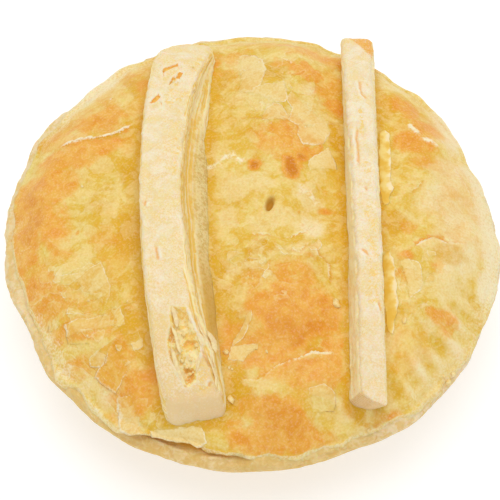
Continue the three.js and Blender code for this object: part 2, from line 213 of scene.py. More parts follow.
# Dry patches are whole, smooth and pale.
DRY = [
    (-3, 40, 7, 7, 0.4), (2, 30, 7, 5, 0.65), (13, 27, 6, 9, 0.75), (16, 11, 3.5, 5, 0.7),
    (-3, 5, 8, 6, 0.85), (6, -3, 8, 3.5, 0.75), (14, 1.5, 3, 3, 0.85), (-33, 40, 9, 5, 0.4),
    (-34, 1, 5, 2.5, 0.65), (-37, -18, 6, 5, 0.4), (14, -5.5, 4.5, 5, 1.3), (37.5, 3, 3, 8, 0.5),
    (13, -17, 4, 4, 0.5), (13, -11, 4, 4, 0.7), (-47, -24, 4, 4, 0.5), (12.5, 4, 3.5, 3, 0.9),
    (8, -2, 6, 3, 0.5), (53, -14, 4, 6, 1), (-5, -2, 4, 4, 0.9), (-2, -15.5, 7, 2.5, 0.65),
    (14.5, 34, 4, 4, 1.1), (32, 40, 4, 4, 0.6), (46, -31, 5, 4, 0.9), (40, -27.5, 3, 3, 0.9),
    (-45, -27, 4, 4, 0.65), (26, -50, 4, 3, 0.8), (35.4, -24, 3, 3, 0.6), (-31, -41, 5, 3.5, 1.1),
    (31, -32, 3, 6, 0.6), (31.5, -42, 3, 5, 0.7), (-4, 21.5, 4, 3, 0.5), (-26, -49, 5, 3, 0.9),
    (-16, -52, 7, 2.5, 0.9), (47, -2, 10, 24, 1.05), (36, -18, 3, 6, 0.6), (44, -17, 7, 6, 0.9),
    (16, -44, 5, 3.5, 0.4), (12, -38, 6, 2, 0.6), (-48, -29, 3, 6, 0.5), (-38, -39, 6, 3, 0.5),
    (46, 26, 6, 9, 1), (40, -38, 7, 6, 0.8), (22, -46, 5, 4, 0.7), (44, -26, 5, 5, 0.7),
    (30, -48, 6, 4, 0.6),
]

# Sheets of the top skin that have torn and lifted: the outline in plan, how high the torn side stands,
# the direction that side faces in degrees (None for a loose one), and how dry and how baked it is.
SHEETS = [
    ([(8.5, 30), (10, 33), (12, 34.5), (13.5, 37.5), (16.5, 36.5), (17.5, 33), (16.5, 29), (18, 25),
      (18.3, 21), (17, 18), (14.5, 17), (12.3, 17), (11, 19.5), (11.2, 22.5), (9, 24),
      (9.8, 28)], 0.35, 220, 0.7, 0.35),
    ([(3, 24.5), (4, 27), (5.5, 28.7), (7.5, 28.2), (8.6, 25.5), (9.3, 23), (8.5, 20.5), (6.5, 19.5),
      (5, 19.8), (4, 22)], 0.3, 100, 0.55, 0.35),
    ([(-6, 46), (-2, 46.5), (1, 46), (2.8, 44), (3.6, 40), (3.2, 37), (2.2, 34), (0, 32.5), (-4, 33),
      (-6.5, 36), (-7, 41)], 0.35, 0, 0.7, 0.2),
    ([(-1, 33), (2.2, 33.8), (5.5, 34.3), (8, 35.5), (8.6, 32), (8.3, 29.5), (5.5, 29.2), (3.5, 27.5),
      (0, 27), (-3, 29)], 0.25, 60, 0.7, 0.2),
    ([(13.5, 12.5), (16, 15), (18, 16.8), (19.3, 13.5), (20.3, 9), (18.5, 6), (15, 7),
      (13.5, 9.5)], 0.4, 100, 0.85, 0),
    ([(-42, -15), (-38.5, -15.2), (-36, -14.3), (-33.3, -13), (-32.3, -15.5), (-31.2, -18.5),
      (-31, -21), (-33, -24), (-38, -24), (-42, -21)], 0.4, 60, 0.45, 0.2),
    ([(-41, -26), (-38, -25.3), (-35, -25.5), (-32.3, -25), (-31, -24), (-28.5, -24.5), (-27.5, -28),
      (-30, -31), (-35, -31), (-40, -30)], 0.45, 90, 0.35, 0.35),
    ([(-30.8, -33), (-27.5, -31.2), (-25, -31), (-24, -33.5), (-25.5, -36.5), (-27.5, -39.5),
      (-29.3, -42), (-31.8, -40), (-34, -38), (-33, -36.3), (-31.5, -36)], 0.55, 215, 0.3, 0.55),
    ([(-29, -43), (-24.5, -43), (-21.5, -44.5), (-20.8, -46.5), (-22, -48.5), (-23, -50.8), (-26, -51),
      (-28.2, -50), (-28.6, -46)], 0.45, 200, 0.5, 0.4),
    ([(-20.3, -46.8), (-19, -48.5), (-15.5, -50), (-10.5, -50.5), (-9.5, -53.5), (-11.5, -54.2),
      (-13.5, -53), (-17, -52.3), (-21, -51.8), (-22, -49.5)], 0.4, 270, 0.85, 0.1),
    ([(-35.2, -34.2), (-33.7, -33), (-31.5, -34.6), (-32.8, -36.4), (-35, -35.6)], 0.45, None, 0.6, 0.2),
    ([(0.3, -26.3), (0.5, -27.5), (-0.6, -30), (-1.5, -32), (-3.7, -33.4), (-3.7, -32.2), (-1.7, -30),
      (-0.9, -27.8)], 0.35, None, 0.5, 0.2),
    ([(-4, -34), (-1, -33.6), (1.7, -33.7), (1.6, -34.9), (-0.6, -35.7), (-1.5, -37.2),
      (-4.7, -36.8)], 0.4, None, 0.5, 0.15),
    ([(32.8, -13), (34.8, -12), (36.6, -12), (38, -12.8), (38.3, -16.5), (37.7, -19.5), (35.8, -21.8),
      (33.5, -23.5), (32.5, -20), (33, -16)], 0.35, 10, 0.7, 0.1),
    ([(13, -43), (16, -42), (18.5, -43.5), (18, -46.5), (15, -47), (13, -45.5)], 0.35, 80, 0.45, 0.4),
]
# A sheet is laid out in rings, as shares of its reach. Its sides spread as they sink into the lid, and its
# underside is narrower and lies deeper, deepest in the middle.
SHEET_RINGS = (1, 0.97, 0.92, 0.84, 0.72, 0.56, 0.38, 0.2)
SHEET_SPREAD = 0.35
SHEET_SUNK = 0.2
UNDERSIDE_REACH = 0.85
UNDERSIDE_SUNK = 0.6
MIDDLE_SUNK = 0.8


def mix(a, b, share):
    return a + (b - a) * share


def smooth(value, low, high):
    """From 0 to 1 across a band, without corners."""
    share = np.clip((value - low) / (high - low), 0, 1)
    return share * share * (3 - 2 * share)


def peak(value, middle, half):
    """A soft hump, 1 at the middle."""
    return np.exp(-((value - middle) / half) ** 2)


def waves(shapes, angle):
    return sum(height * np.cos(count * angle + phase) for count, height, phase in shapes)


def through(values, share):
    """A smooth value that runs through three given ones as share goes from 0 to 1."""
    front, middle, back = values
    ends = 2 * (share - 0.5) * ((share - 1) * front + share * back)
    return ends + 4 * share * (1 - share) * middle


# Large odd factors that scramble whole numbers, and the largest numbers that 32 and 16 bits hold.
ACROSS_FACTOR = 374761393
ALONG_FACTOR = 668265263
SEED_FACTOR = 144665
LAST_FACTOR = 1274126177
BITS_32 = 0xFFFFFFFF
BITS_16 = 0xFFFF


def scramble(across, along, seed):
    """A repeatable number from 0 to 1 for each whole-numbered place."""
    n = across.astype(np.int64) * ACROSS_FACTOR + along.astype(np.int64) * ALONG_FACTOR + seed * SEED_FACTOR
    n = n & BITS_32
    n = ((n ^ (n >> 13)) * LAST_FACTOR) & BITS_32
    return ((n ^ (n >> 16)) & BITS_16) / BITS_16


def noise(x, y, size, seed):
    """Smooth bumps from -1 to 1 that are about as wide as size."""
    x, y = np.broadcast_arrays(x / size, y / size)
    left, low = np.floor(x), np.floor(y)
    right, high = smooth(x - left, 0, 1), smooth(y - low, 0, 1)
    bottom = mix(scramble(left, low, seed), scramble(left + 1, low, seed), right)
    top = mix(scramble(left, low + 1, seed), scramble(left + 1, low + 1, seed), right)
    return 2 * mix(bottom, top, high) - 1


def grit(x, y, size, seed, finer=3):
    """Rough bumps from about -1 to 1: noise with ever finer noise on it, each turned against the last."""
    total, weight = 0, 0
    for step in range(finer):
        share = 0.55 ** step
        turn = 0.6 + 1.1 * step
        u = x * math.cos(turn) - y * math.sin(turn)
        v = x * math.sin(turn) + y * math.cos(turn)
        total = total + share * noise(u, v, size * 0.5 ** step, seed + step)
        weight += share
    return total / weight


def broken_sheet(x, y, size, seed):
    """A sheet broken into flakes: a number from 0 to 1 for the flake that each place is on."""
    column, row = np.floor(x / size), np.floor(y / size)
    nearest = np.full(x.shape, np.inf)
    own = np.zeros(x.shape)
    for across in (-1, 0, 1):
        for along in (-1, 0, 1):
            u, v = column + across, row + along
            far_x = x - (u + scramble(u, v, seed)) * size
            far_y = y - (v + scramble(u, v, seed + 1)) * size
            far = np.hypot(far_x, far_y)
            own = np.where(far < nearest, scramble(u, v, seed + 2), own)
            nearest = np.minimum(far, nearest)
    return own


def along_line(x, y, points):
    """How far each place is to the left of a line through some points, and its share of the way along it."""
    corners = np.array(points, float)
    steps = np.diff(corners, axis=0)
    lengths = np.hypot(steps[:, 0], steps[:, 1])
    starts = np.concatenate([[0], np.cumsum(lengths)])
    best = np.full(x.shape, np.inf)
    left = np.zeros(x.shape)
    share = np.zeros(x.shape)
    for corner, step, length, start in zip(corners, steps, lengths, starts):
        u, v = x - corner[0], y - corner[1]
        at = np.clip((u * step[0] + v * step[1]) / length ** 2, 0, 1)
        far = np.hypot(u - at * step[0], v - at * step[1])
        side = np.sign(step[0] * v - step[1] * u)
        closer = far < best
        best = np.where(closer, far, best)
        left = np.where(closer, far * side, left)
        share = np.where(closer, (start + at * length) / starts[-1], share)
    return left, share


def tapered(share, ends=0.12):
    """1 along a line, falling to 0 at both of its ends."""
    return smooth(share, 0, ends) * (1 - smooth(share, 1 - ends, 1))


def curve(path, share):
    """Place and direction on a cubic curve with four corner points."""
    a, b, c, d = (np.array(corner, float) for corner in path)
    t = np.asarray(share, float)[..., None]
    place = (1 - t) ** 3 * a + 3 * (1 - t) ** 2 * t * b + 3 * (1 - t) * t * t * c + t ** 3 * d
    way = (1 - t) ** 2 * (b - a) + 2 * (1 - t) * t * (c - b) + t * t * (d - c)
    return place, way / np.linalg.norm(way, axis=-1, keepdims=True)


def strip_ends(strip):
    """Y of a strip's front and back end."""
    return strip["path"][0][1], strip["path"][-1][1]


def beside_strip(strip, x, y):
    """How far a place is from a strip's middle line, and its share of the way along the strip."""
    front, back = strip_ends(strip)
    share = np.clip((y - front) / (back - front), 0, 1)
    return x - curve(strip["path"], share)[0][..., 0], share


def strip_dip(x, y):
    """The lid sinks a little along each strip."""
    return -sum(DIP_DEPTH * peak(beside_strip(strip, x, y)[0], 0, DIP_WIDTH) for strip in STRIPS)


def swell(x, y):
    """Broad soft bulges of the lid."""
    height = 0
    for i in range(SWELL_COUNT):
        length = SWELL_LENGTH / (1 + 0.45 * i)
        along = x * math.cos(i * GOLDEN_ANGLE) + y * math.sin(i * GOLDEN_ANGLE)
        height = height + SWELL_HEIGHT / (1 + 0.5 * i) * np.sin(2 * math.pi * along / length + 1.7 * i)
    return height


def bulges(places, angle):
    """How far an edge stands out at some places round the pie."""
    out = 0
    for middle, half, far in places:
        off = np.angle(np.exp(1j * (angle - math.radians(middle))))
        out = out + far * peak(off, 0, math.radians(half))
    return out


def lid_reach(angle):
    return LID_RADIUS + waves(OUTLINE_WAVES, angle) + waves(LID_EDGE_WAVES, angle)


def lid_place(x, y):
    """Angle round the lid, and share of the way from its middle to its edge."""
    angle = np.arctan2(y, x - LID_SHIFT)
    return angle, np.minimum(np.hypot(x - LID_SHIFT, y) / lid_reach(angle), 1)


def dome_top(x, y):
    """Height of the lid's plain dome."""
    share = lid_place(x, y)[1]
    dome = DOME_RISE * (1 - share ** DOME_FULLNESS) ** DOME_SHOULDER
    return LID_BOTTOM + LID_EDGE + dome + (1 - smooth(share, *RELIEF_ENDS)) * strip_dip(x, y)


def patches(x, y, zones, seed):
    """How strongly some patches show at each place, with ragged outlines."""
    coarse, fine = grit(x, y, 6, seed, 4), grit(x, y, 2, seed + 7)
    shown = np.zeros(x.shape)
    for middle_x, middle_y, reach_x, reach_y, strength in zones:
        far = np.hypot((x - middle_x) / reach_x, (y - middle_y) / reach_y)
        far = far + 0.8 * (coarse if min(reach_x, reach_y) > 3 else fine)
        shown = np.maximum(shown, strength * (1 - smooth(far, 0.4, 1.25)))
    return shown


def spots(x, y):
    """How strongly the small spots show at each place."""
    shown = np.zeros(x.shape)
    wobble = 0.25 * noise(x, y, 1.5, 73)
    for middle_x, middle_y, reach_x, reach_y, strength in SPOTS:
        far = np.hypot((x - middle_x) / reach_x, (y - middle_y) / reach_y) + wobble
        shown = np.maximum(shown, strength * peak(far, 0, 0.85))
    return shown


def facing_way(angle, way, low, high):
    """From 0 to 1 as the cosine of the angle to a way, in degrees, goes from low to high."""
    return smooth(np.cos(angle - math.radians(way)), low, high)


def gaping(angle):
    """Where the lid's edge gapes over the rim: at the front, a little to the left."""
    return facing_way(angle, -106, 0.955, 0.985)


def standing(angle):
    """Where the lid's edge ends in a step, round the front. Elsewhere it runs into the rim."""
    return facing_way(angle, -105, 0.2, 0.34)


def floury(angle):
    """Where the lid's edge has crumbled into the rim: at the left and at the right of the front."""
    left = facing_way(angle, -149, 0.96, 0.99)
    right = facing_way(angle, -42, 0.93, 0.98)
    return np.maximum(0.6 * left, 0.3 * right)


def crimps(angle, share):
    """Folds across the lid's edge, from -1 in a trough to 1 on a ridge."""
    around = facing_way(angle, CRIMP_WAY, 0.84, 0.95)
    run = smooth(share, 0.86, 0.93) * (1 - 0.8 * smooth(share, 0.95, 1))
    return around * run * np.cos(CRIMP_COUNT * (angle - math.radians(CRIMP_WAY)))


def broken_skin(x, y):
    """Where the top sheet is in flakes: how much, how each flake stands out, and how high it lies."""
    flaky, flake, height = (np.zeros(x.shape) for _ in range(3))
    for middle_x, middle_y, reach in FLAKY_ZONES:
        far = np.hypot(x - middle_x, y - middle_y) + 4 * noise(x, y, 8, 11)
        flaky = np.maximum(flaky, 1 - smooth(far, 0.6 * reach, reach))
    for size, lift, seed in BROKEN_SIZES:
        ragged_x = x + 0.6 * grit(x, y, 2.4, seed + 5)
        ragged_y = y + 0.6 * grit(x, y, 2.4, seed + 9)
        number = broken_sheet(ragged_x, ragged_y, size, seed)
        flake += flaky * (number - 0.5)
        height += flaky * lift * number
    return flaky, flake, height


def cracked_skin(x, y):
    """The cracks: how far a place is on the nearest one's lifted side, how torn that is, and the relief."""
    edge = np.full(x.shape, FAR_OFF)
    torn, height = np.zeros(x.shape), np.zeros(x.shape)
    wobble = 0.3 * grit(x, y, 1.6, 41) + 0.3 * noise(x, y, 5, 43)
    for number, (lift, reach, line) in enumerate(CRACKS):
        left, way = along_line(x, y, line)
        left = left + wobble
        whole = smooth(noise(x, y, 3.5, 45) + 2 * (number == 0), -0.4, 0.3)
        strength = tapered(way) * (0.35 + 0.65 * whole)
        raised = smooth(left, -0.1, 0.15) * (1 - smooth(left, 0, reach))
        sunk = (1 - smooth(left, -0.15, 0.1)) * (1 - smooth(-left, 0, 0.6 * reach))
        height += strength * lift * (0.5 * raised - 0.25 * sunk)
        closer = np.abs(left) < np.abs(edge)
        edge = np.where(closer, left, edge)
        torn = np.where(closer, strength * min(1, 2 * lift), torn)
    return edge, torn, height


def crumbled_skin(x, y, angle, share):
    """Pale grit along lines and at the edge: how pale it is, and its relief."""
    pale, height = np.zeros(x.shape), np.zeros(x.shape)
    for half, line in CRUMBLED:
        left, way = along_line(x, y, line)
        band = peak(left + 0.7 * grit(x, y, 2.4, 51), 0, half) * tapered(way, 0.1)
        height += band * min(1, half) * (0.15 + 0.35 * grit(x, y, 0.9, 53))
        pale = np.maximum(pale, band * (0.6 + 0.5 * noise(x, y, 0.9, 55)))
    crumbly = floury(angle) * smooth(share + 0.03 * grit(x, y, 4, 57), 0.94, 0.99)
    height += crumbly * 0.3 * grit(x, y, 1.1, 59)
    return np.maximum(pale, crumbly * (0.6 + 0.4 * grit(x, y, 1.2, 59))), height


def vent_hole(x, y):
    """How far a place is from the middle of the vent, with 1 at its border."""
    off_x, off_y = x - VENT["x"], y - VENT["y"]
    u = off_x * math.cos(VENT["turn"]) + off_y * math.sin(VENT["turn"])
    v = off_y * math.cos(VENT["turn"]) - off_x * math.sin(VENT["turn"])
    return np.hypot(u / (VENT["length"] / 2), v / (VENT["width"] / 2))


def near_strips(x, y):
    """How bare the lid is beside the strips, which is partly painted shade, and how much painted shade lies
    left of the left one.
    """
    bare, shade = np.zeros(x.shape), np.zeros(x.shape)
    for strip in STRIPS:
        off, way = beside_strip(strip, x, y)
        front, back = strip_ends(strip)
        beyond = np.maximum(front - y, y - back)
        aside = np.abs(off) - through(strip["foot"], way) / 2
        clear = np.hypot(np.maximum(aside, 0), np.maximum(beyond, 0))
        open_side = (strip is RIGHT_STRIP) * (off > 0) * (1 - smooth(y, -34, -24))
        bare = np.maximum(bare, (0.85 - 0.5 * open_side) * peak(clear, 0, 2 + noise(x, y, 7, 81)))
        if strip is LEFT_STRIP:
            dim = (off < 0) * smooth(y, -48, -36)
            # Painted shade: the lid goes golden on the left of the left strip.
            bare = np.maximum(bare, 0.8 * dim * peak(clear, 0, 4.5))
            shade = dim * peak(clear, 0, 2)
    return bare, shade


def lid_relief(x, y):
    """The lid's top in full: its height, and the values that its finish needs."""
    angle, share = lid_place(x, y)
    crimp = crimps(angle, share)
    flaky, flake, flake_height = broken_skin(x, y)
    edge, torn, crack_height = cracked_skin(x, y)
    pale, grit_height = crumbled_skin(x, y, angle, share)
    hole = vent_hole(x, y)
    vent = 1 - smooth(hole, 0.6, 1.2)
    height = dome_top(x, y) + (1 - smooth(share, *RELIEF_ENDS)) * swell(x, y)
    height -= mix(EDGE_FALL, GAPING_FALL, gaping(angle)) * smooth(share, 0.82, 1) ** 1.5
    height += CRIMP_HEIGHT * crimp + flake_height + crack_height + grit_height
    height += smooth(share, 1, 0.9) * (0.15 * grit(x, y, 3.2, 61) + 0.06 * grit(x, y, 1.3, 63))
    height += VENT["lip"] * peak(hole, 2, 0.9) - VENT["depth"] * vent

    # A paler edge, partly its own colour and partly painted light where it slopes away from the lamp.
    pale_lit_edge = bulges(PALE_EDGE, angle) * smooth(share + 0.01 * grit(x, y, 5, 65), 0.93, 0.99)
    hot = spots(x, y)
    bare, shade = near_strips(x, y)
    # Painted light and shade on the crimps: their troughs go golden here, their ridges pale in the dry
    # value.
    bare = np.maximum.reduce([bare, patches(x, y, BARE, 85), 1.1 * hot, -0.15 * crimp])
    baked = np.maximum(patches(x, y, BAKED, 71), hot * smooth(hot, 0.1, 0.9))
    values = {
        "baked": baked * (1 - 0.7 * pale_lit_edge),
        "bare": bare,
        "dry": patches(x, y, DRY, 91) + 0.4 * crimp + 0.9 * pale_lit_edge,
        "pale": np.clip(np.maximum(pale, 0.45 * pale_lit_edge), 0, 1),
        "flake": flake,
        "flaky": flaky,
        "edge": edge,
        "torn": torn,
        # Painted shade: the dark inside of the vent and the shade on the left of the left strip.
        "painted_shade": np.maximum(vent, 0.3 * shade),
    }
    return height, values


def make_piece(name, places, faces, finish, attributes=None, crisp=False):
    """A smooth mesh object from places in millimetres and lists of corners, with named values on vertices.

    The upright faces of a crisp one are flat, so that its edges are sharp.
    """
    mesh = bpy.data.meshes.new(name)
    mesh.from_pydata((np.asarray(places) * MM).tolist(), [], [list(map(int, face)) for face in faces])
    for label, values in (attributes or {}).items():
        layer = mesh.attributes.new(label, "FLOAT", "POINT")
        layer.data.foreach_set("value", np.asarray(values, np.float32).ravel())
    facing = np.zeros(3 * len(mesh.polygons))
    mesh.polygons.foreach_get("normal", facing)
    mesh.polygons.foreach_set("use_smooth", (np.abs(facing[2::3]) > 0.6) | (not crisp))
    mesh.materials.append(finish)
    piece = bpy.data.objects.new(name, mesh)
    bpy.context.scene.collection.objects.link(piece)
    return piece


def quads(rows, columns, closed=False):
    """Faces of a grid of vertices, row by row; a closed one joins its last column to its first."""
    row = np.arange(rows - 1)[:, None]
    column = np.arange(columns if closed else columns - 1)[None, :]
    following = (column + 1) % columns
    corners = [row * columns + column, row * columns + following]
    corners += [(row + 1) * columns + following, (row + 1) * columns + column]
    return np.stack(np.broadcast_arrays(*corners), -1).reshape(-1, 4)


def belt(lower, upper):
    """Faces between two closed rings of vertices."""
    return np.stack([lower, np.roll(lower, -1), np.roll(upper, -1), upper], -1).tolist()


def fan(middle, ring):
    """Faces from a middle vertex to a closed ring."""
    return [(middle, a, b) for a, b in zip(ring, np.roll(ring, -1))]


def outward(places, faces):
    """The direction straight out of the surface at each vertex."""
    corners = places[faces]
    across = np.cross(corners[:, 2] - corners[:, 0], corners[:, 3] - corners[:, 1])
    total = np.zeros(places.shape)
    for corner in range(4):
        np.add.at(total, faces[:, corner], across)
    return total / np.maximum(np.linalg.norm(total, axis=1, keepdims=True), 1e-12)


def grid_border(rows, columns):
    """The vertices round the border of a grid, in turn."""
    index = np.arange(rows * columns).reshape(rows, columns)
    return np.concatenate([index[0, :-1], index[:-1, -1], index[-1, :0:-1], index[:0:-1, 0]])


def disc(steps):
    """Places spread evenly over a round disc, as angle and share of the radius, with faces and border."""
    line = np.linspace(-1, 1, steps + 1)
    b, a = np.meshgrid(line, line, indexing="ij")
    wide = np.abs(a) >= np.abs(b)
    slope = np.where(wide, b / np.where(a == 0, 1, a), a / np.where(b == 0, 1, b)) * math.pi / 4
    angle = np.where(wide, slope + math.pi * (a < 0), math.pi / 2 - slope + math.pi * (b < 0))
    share = np.maximum(np.abs(a), np.abs(b))
    return angle.ravel(), share.ravel(), quads(*a.shape), grid_border(*a.shape)


LID_STEPS = 290
# How far the lid's edge stands clear of the rim where it gapes, and how far it goes into the rim elsewhere.
GAP_HEIGHT = 1.3
EDGE_SUNK = 1.3
# The finish of the lid's side where it ends in a step.
STEP_VALUES = {"pale": 0.35, "dry": 0.7, "edge": FAR_OFF, "bare": 0, "baked": 0.2}
# The lid's edge from its top to its underside: share of the radius, and share of the way down to the rim.
LID_EDGE_ROWS = [
    (1.004, 0.12), (1.007, 0.3), (1.008, 0.5), (1.006, 0.68), (1.001, 0.84), (0.99, 0.95), (0.94, 1),
]


def make_lid(finish):
    """The lid: its top as a disc, then its edge row by row, and a middle below."""
    angle, share, faces, border = disc(LID_STEPS)
    chip_size = mix(0.2, 0.7, smooth(-np.sin(angle), 0.1, 0.6))
    chipped = chip_size * grit(LID_RADIUS * np.cos(angle), LID_RADIUS * np.sin(angle), 3.4, 91, 4) - 0.2
    stretch = 0.6 + bulges(LID_BULGES, angle)
    reach = lid_reach(angle) + (chipped + stretch) * smooth(share, 0.9, 1)
    x = LID_SHIFT + share * reach * np.cos(angle)
    y = share * reach * np.sin(angle)
    height, values = lid_relief(x, y)
    places = [np.stack([x, y, height], -1)]
    count = len(x)
    last = border
    faces = faces.tolist()
    turn, edge, top = angle[border], reach[border], height[border]
    run = turn * LID_RADIUS
    clear = GAP_HEIGHT * smooth(noise(run, 0, 7, 95), -0.9, 0.2)
    step, gap = standing(turn), gaping(turn)
    for level, (out, down) in enumerate(LID_EDGE_ROWS):
        layered = 0.3 * noise(run, 9 * level, 2.2, 97) + 0.15 * noise(run, 7 * level, 0.9, 96)
        sloping = edge * mix(out, 1, 0.5) + mix(1.4, 0.8, step) * down + 0.2 * layered
        at = mix(sloping, out * edge + layered, gap)
        z = mix(top, RIM_TOP + mix(-EDGE_SUNK, clear, gap), down)
        z = z + 0.1 * noise(run, 5 * level, 3, 98)
        places.append(np.stack([LID_SHIFT + at * np.cos(turn), at * np.sin(turn), z], -1))
        row = count + np.arange(len(border))
        faces += belt(row, last)
        last = row
        count += len(border)
    places.append(np.array([[LID_SHIFT, 0, RIM_TOP + 0.1]]))
    faces += fan(count, last[::-1])
    rows = len(LID_EDGE_ROWS)
    for label, value in values.items():
        values[label] = np.concatenate([value, np.tile(value[border], rows), [0]])
    side = np.append(np.tile(step, rows), 1)
    under = np.append(np.repeat([down > 0.6 for _, down in LID_EDGE_ROWS], len(border)), True)
    for label, value in STEP_VALUES.items():
        values[label][len(x):] = mix(values[label][len(x):], value, side)
    # Painted shade: where the edge gapes its underside turns golden, and so does the middle below.
    values["bare"][len(x):] += np.append(np.tile(gap, rows), 1) * under
    return make_piece("lid", np.concatenate(places), faces, finish, values)


TORN_STEP = 0.35


def torn_outline(outline, seed):
    """A closed outline, anticlockwise, with short steps and a torn edge."""
    corners = np.array(outline, float)
    following = np.roll(corners, -1, axis=0)
    if np.sum(corners[:, 0] * following[:, 1] - corners[:, 1] * following[:, 0]) < 0:
        corners = corners[::-1]
    points = []
    for start, end in zip(corners, np.roll(corners, -1, axis=0)):
        count = max(2, int(np.hypot(*(end - start)) / TORN_STEP))
        points += [mix(start, end, i / count) for i in range(count)]
    x, y = np.array(points).T
    step = np.roll(points, -1, axis=0) - np.roll(points, 1, axis=0)
    normal = np.stack([step[:, 1], -step[:, 0]], -1) / np.linalg.norm(step, axis=1, keepdims=True)
    torn = 0.3 * grit(x, y, 1.5, seed) + 0.15 * noise(x, y, 0.6, seed + 4)
    return points + normal * torn[:, None]


# How many small flakes a zone has for each millimetre of its reach. Small flakes and stray crumbs lie clear
# of the strips' middle lines and within a bound from the middle of the pie.
FLAKES_PER_REACH = 0.8
FLAKE_CLEAR = 11
FLAKE_BOUND = 51
CRUMB_CLEAR = 10
CRUMB_BOUND = 52


def clear_of_strips(x, y, clear):
    return all(abs(beside_strip(strip, x, y)[0]) > clear for strip in STRIPS)


def small_flakes():
    """Small flakes of the top skin, strewn over the zones where it has broken up."""
    draw = np.random.default_rng(23)
    flakes = []
    for middle_x, middle_y, reach in FLAKY_ZONES:
        for _ in range(int(reach * FLAKES_PER_REACH)):
            x, y = draw.normal((middle_x, middle_y), 0.5 * reach)
            size = draw.uniform(0.7, 2)
            turns = np.sort(draw.uniform(0, 2 * math.pi, 6)) + np.arange(6)
            turns *= 2 * math.pi / (turns[-1] + 1)
            reaches = size * draw.uniform(0.6, 1.3, 6)
            facing, dry, baked = draw.uniform(0, 360), draw.uniform(0.3, 0.9), draw.uniform(0, 0.4)
            if clear_of_strips(x, y, FLAKE_CLEAR) and np.hypot(x, y) < FLAKE_BOUND:
                outline = np.stack([x + reaches * np.cos(turns), y + reaches * np.sin(turns)], -1)
                flakes.append((outline, 0.08 + 0.07 * size, facing, dry, baked))
    return flakes


def sheet_faces(around, first):
    """The faces of a torn sheet with so many places round its border, from a first vertex on."""
    outer = first + np.arange(around)
    inner = outer + around * (len(SHEET_RINGS) - 1)
    centre = first + around * len(SHEET_RINGS)
    sides = centre + 1 + np.arange(around)
    below = sides + around
    faces = (first + quads(len(SHEET_RINGS), around, closed=True)).tolist() + fan(centre, inner)
    return faces + belt(sides, outer) + belt(below, sides) + fan(below[-1] + 1, below[::-1])


def torn_sheet(number, border, lift, facing, dry, baked):
    """The places of a torn sheet, ring by ring and then below, and the values that its finish needs."""
    around = len(border)
    middle = border.mean(0)
    away = border - middle
    far = np.linalg.norm(away, axis=1, keepdims=True)
    flat = np.concatenate([middle + away * share for share in SHEET_RINGS] + [middle[None]])
    out = np.append(np.repeat(SHEET_RINGS, around), 0)
    height, values = lid_relief(flat[:, 0], flat[:, 1])
    free = np.ones(len(flat))
    if facing is not None:
        way = np.array([math.cos(math.radians(facing)), math.sin(math.radians(facing))])
        free = smooth((flat - middle) @ way / far.max(), -0.6, 0.2)
    uneven = 0.5 + 0.6 * noise(flat[:, 0], flat[:, 1], 3, 600 + number)
    curl = 0.2 * lift * smooth(out, 0.5, 1) * uneven
    top = height + mix(-0.3, 0.02 + 0.2 * lift, free) + free * curl
    foot = border + SHEET_SPREAD * away / far
    under = np.concatenate([foot, middle + UNDERSIDE_REACH * away, middle[None]])
    inside = height[2 * around:3 * around]
    base = np.concatenate([height[:around] - SHEET_SUNK, inside - UNDERSIDE_SUNK, height[-1:] - MIDDLE_SUNK])
    places = np.column_stack([np.concatenate([flat, under]), np.concatenate([top, base])])
    values["dry"] = mix(values["dry"], dry + 0.1, free)
    values["baked"] = mix(values["baked"], 0.25 * values["baked"] + 0.75 * baked, free)
    values["bare"] = values["bare"] * (1 - free)
    lip = free * smooth(out, 0.93, 1) * (0.6 + 0.4 * noise(flat[:, 0], flat[:, 1], 2.5, 650))
    values["pale"] = np.maximum(values["pale"], 0.8 * lip)
    below = np.zeros(around + 1)
    return places, {label: np.concatenate([value, value[:around], below]) for label, value in values.items()}


def make_sheets(finish):
    """Every torn sheet of the lid's skin: a thin piece that leaves the lid on its torn side."""
    places, faces, finishes = [], [], []
    for number, (outline, *state) in enumerate(SHEETS + small_flakes()):
        border = torn_outline(outline, 500 + 10 * number)
        faces += sheet_faces(len(border), sum(map(len, places)))
        sheet, values = torn_sheet(number, border, *state)
        places.append(sheet)
        finishes.append(values)
    values = {label: np.concatenate([found[label] for found in finishes]) for label in finishes[0]}
    return make_piece("lid_flakes", np.concatenate(places), faces, finish, values, crisp=True)


CASE_AROUND = 760
# Where the wall meets the rim, and how many steps each stretch of the case's profile is laid out in.
WALL_TOP = RIM_RADIUS - RIM_OVERHANG
CASE_STEPS = [4, 6, 2, 2, 30, 4, 7, 4, 8, 5, 7, 8, 2]
# A torn lip on the rim under the gap of the lid: how far out it stands, how high and how wide, and the
# height above which it lies.
RIM_LIP_RADIUS = 55.2
RIM_LIP_HEIGHT = 0.6
RIM_LIP_WIDTH = 0.5
RIM_LIP_FROM = 15
# The radii between which the rim goes under the lid; painted shade turns it golden there at the front.
LID_COVERS = (53.6, 54.8)


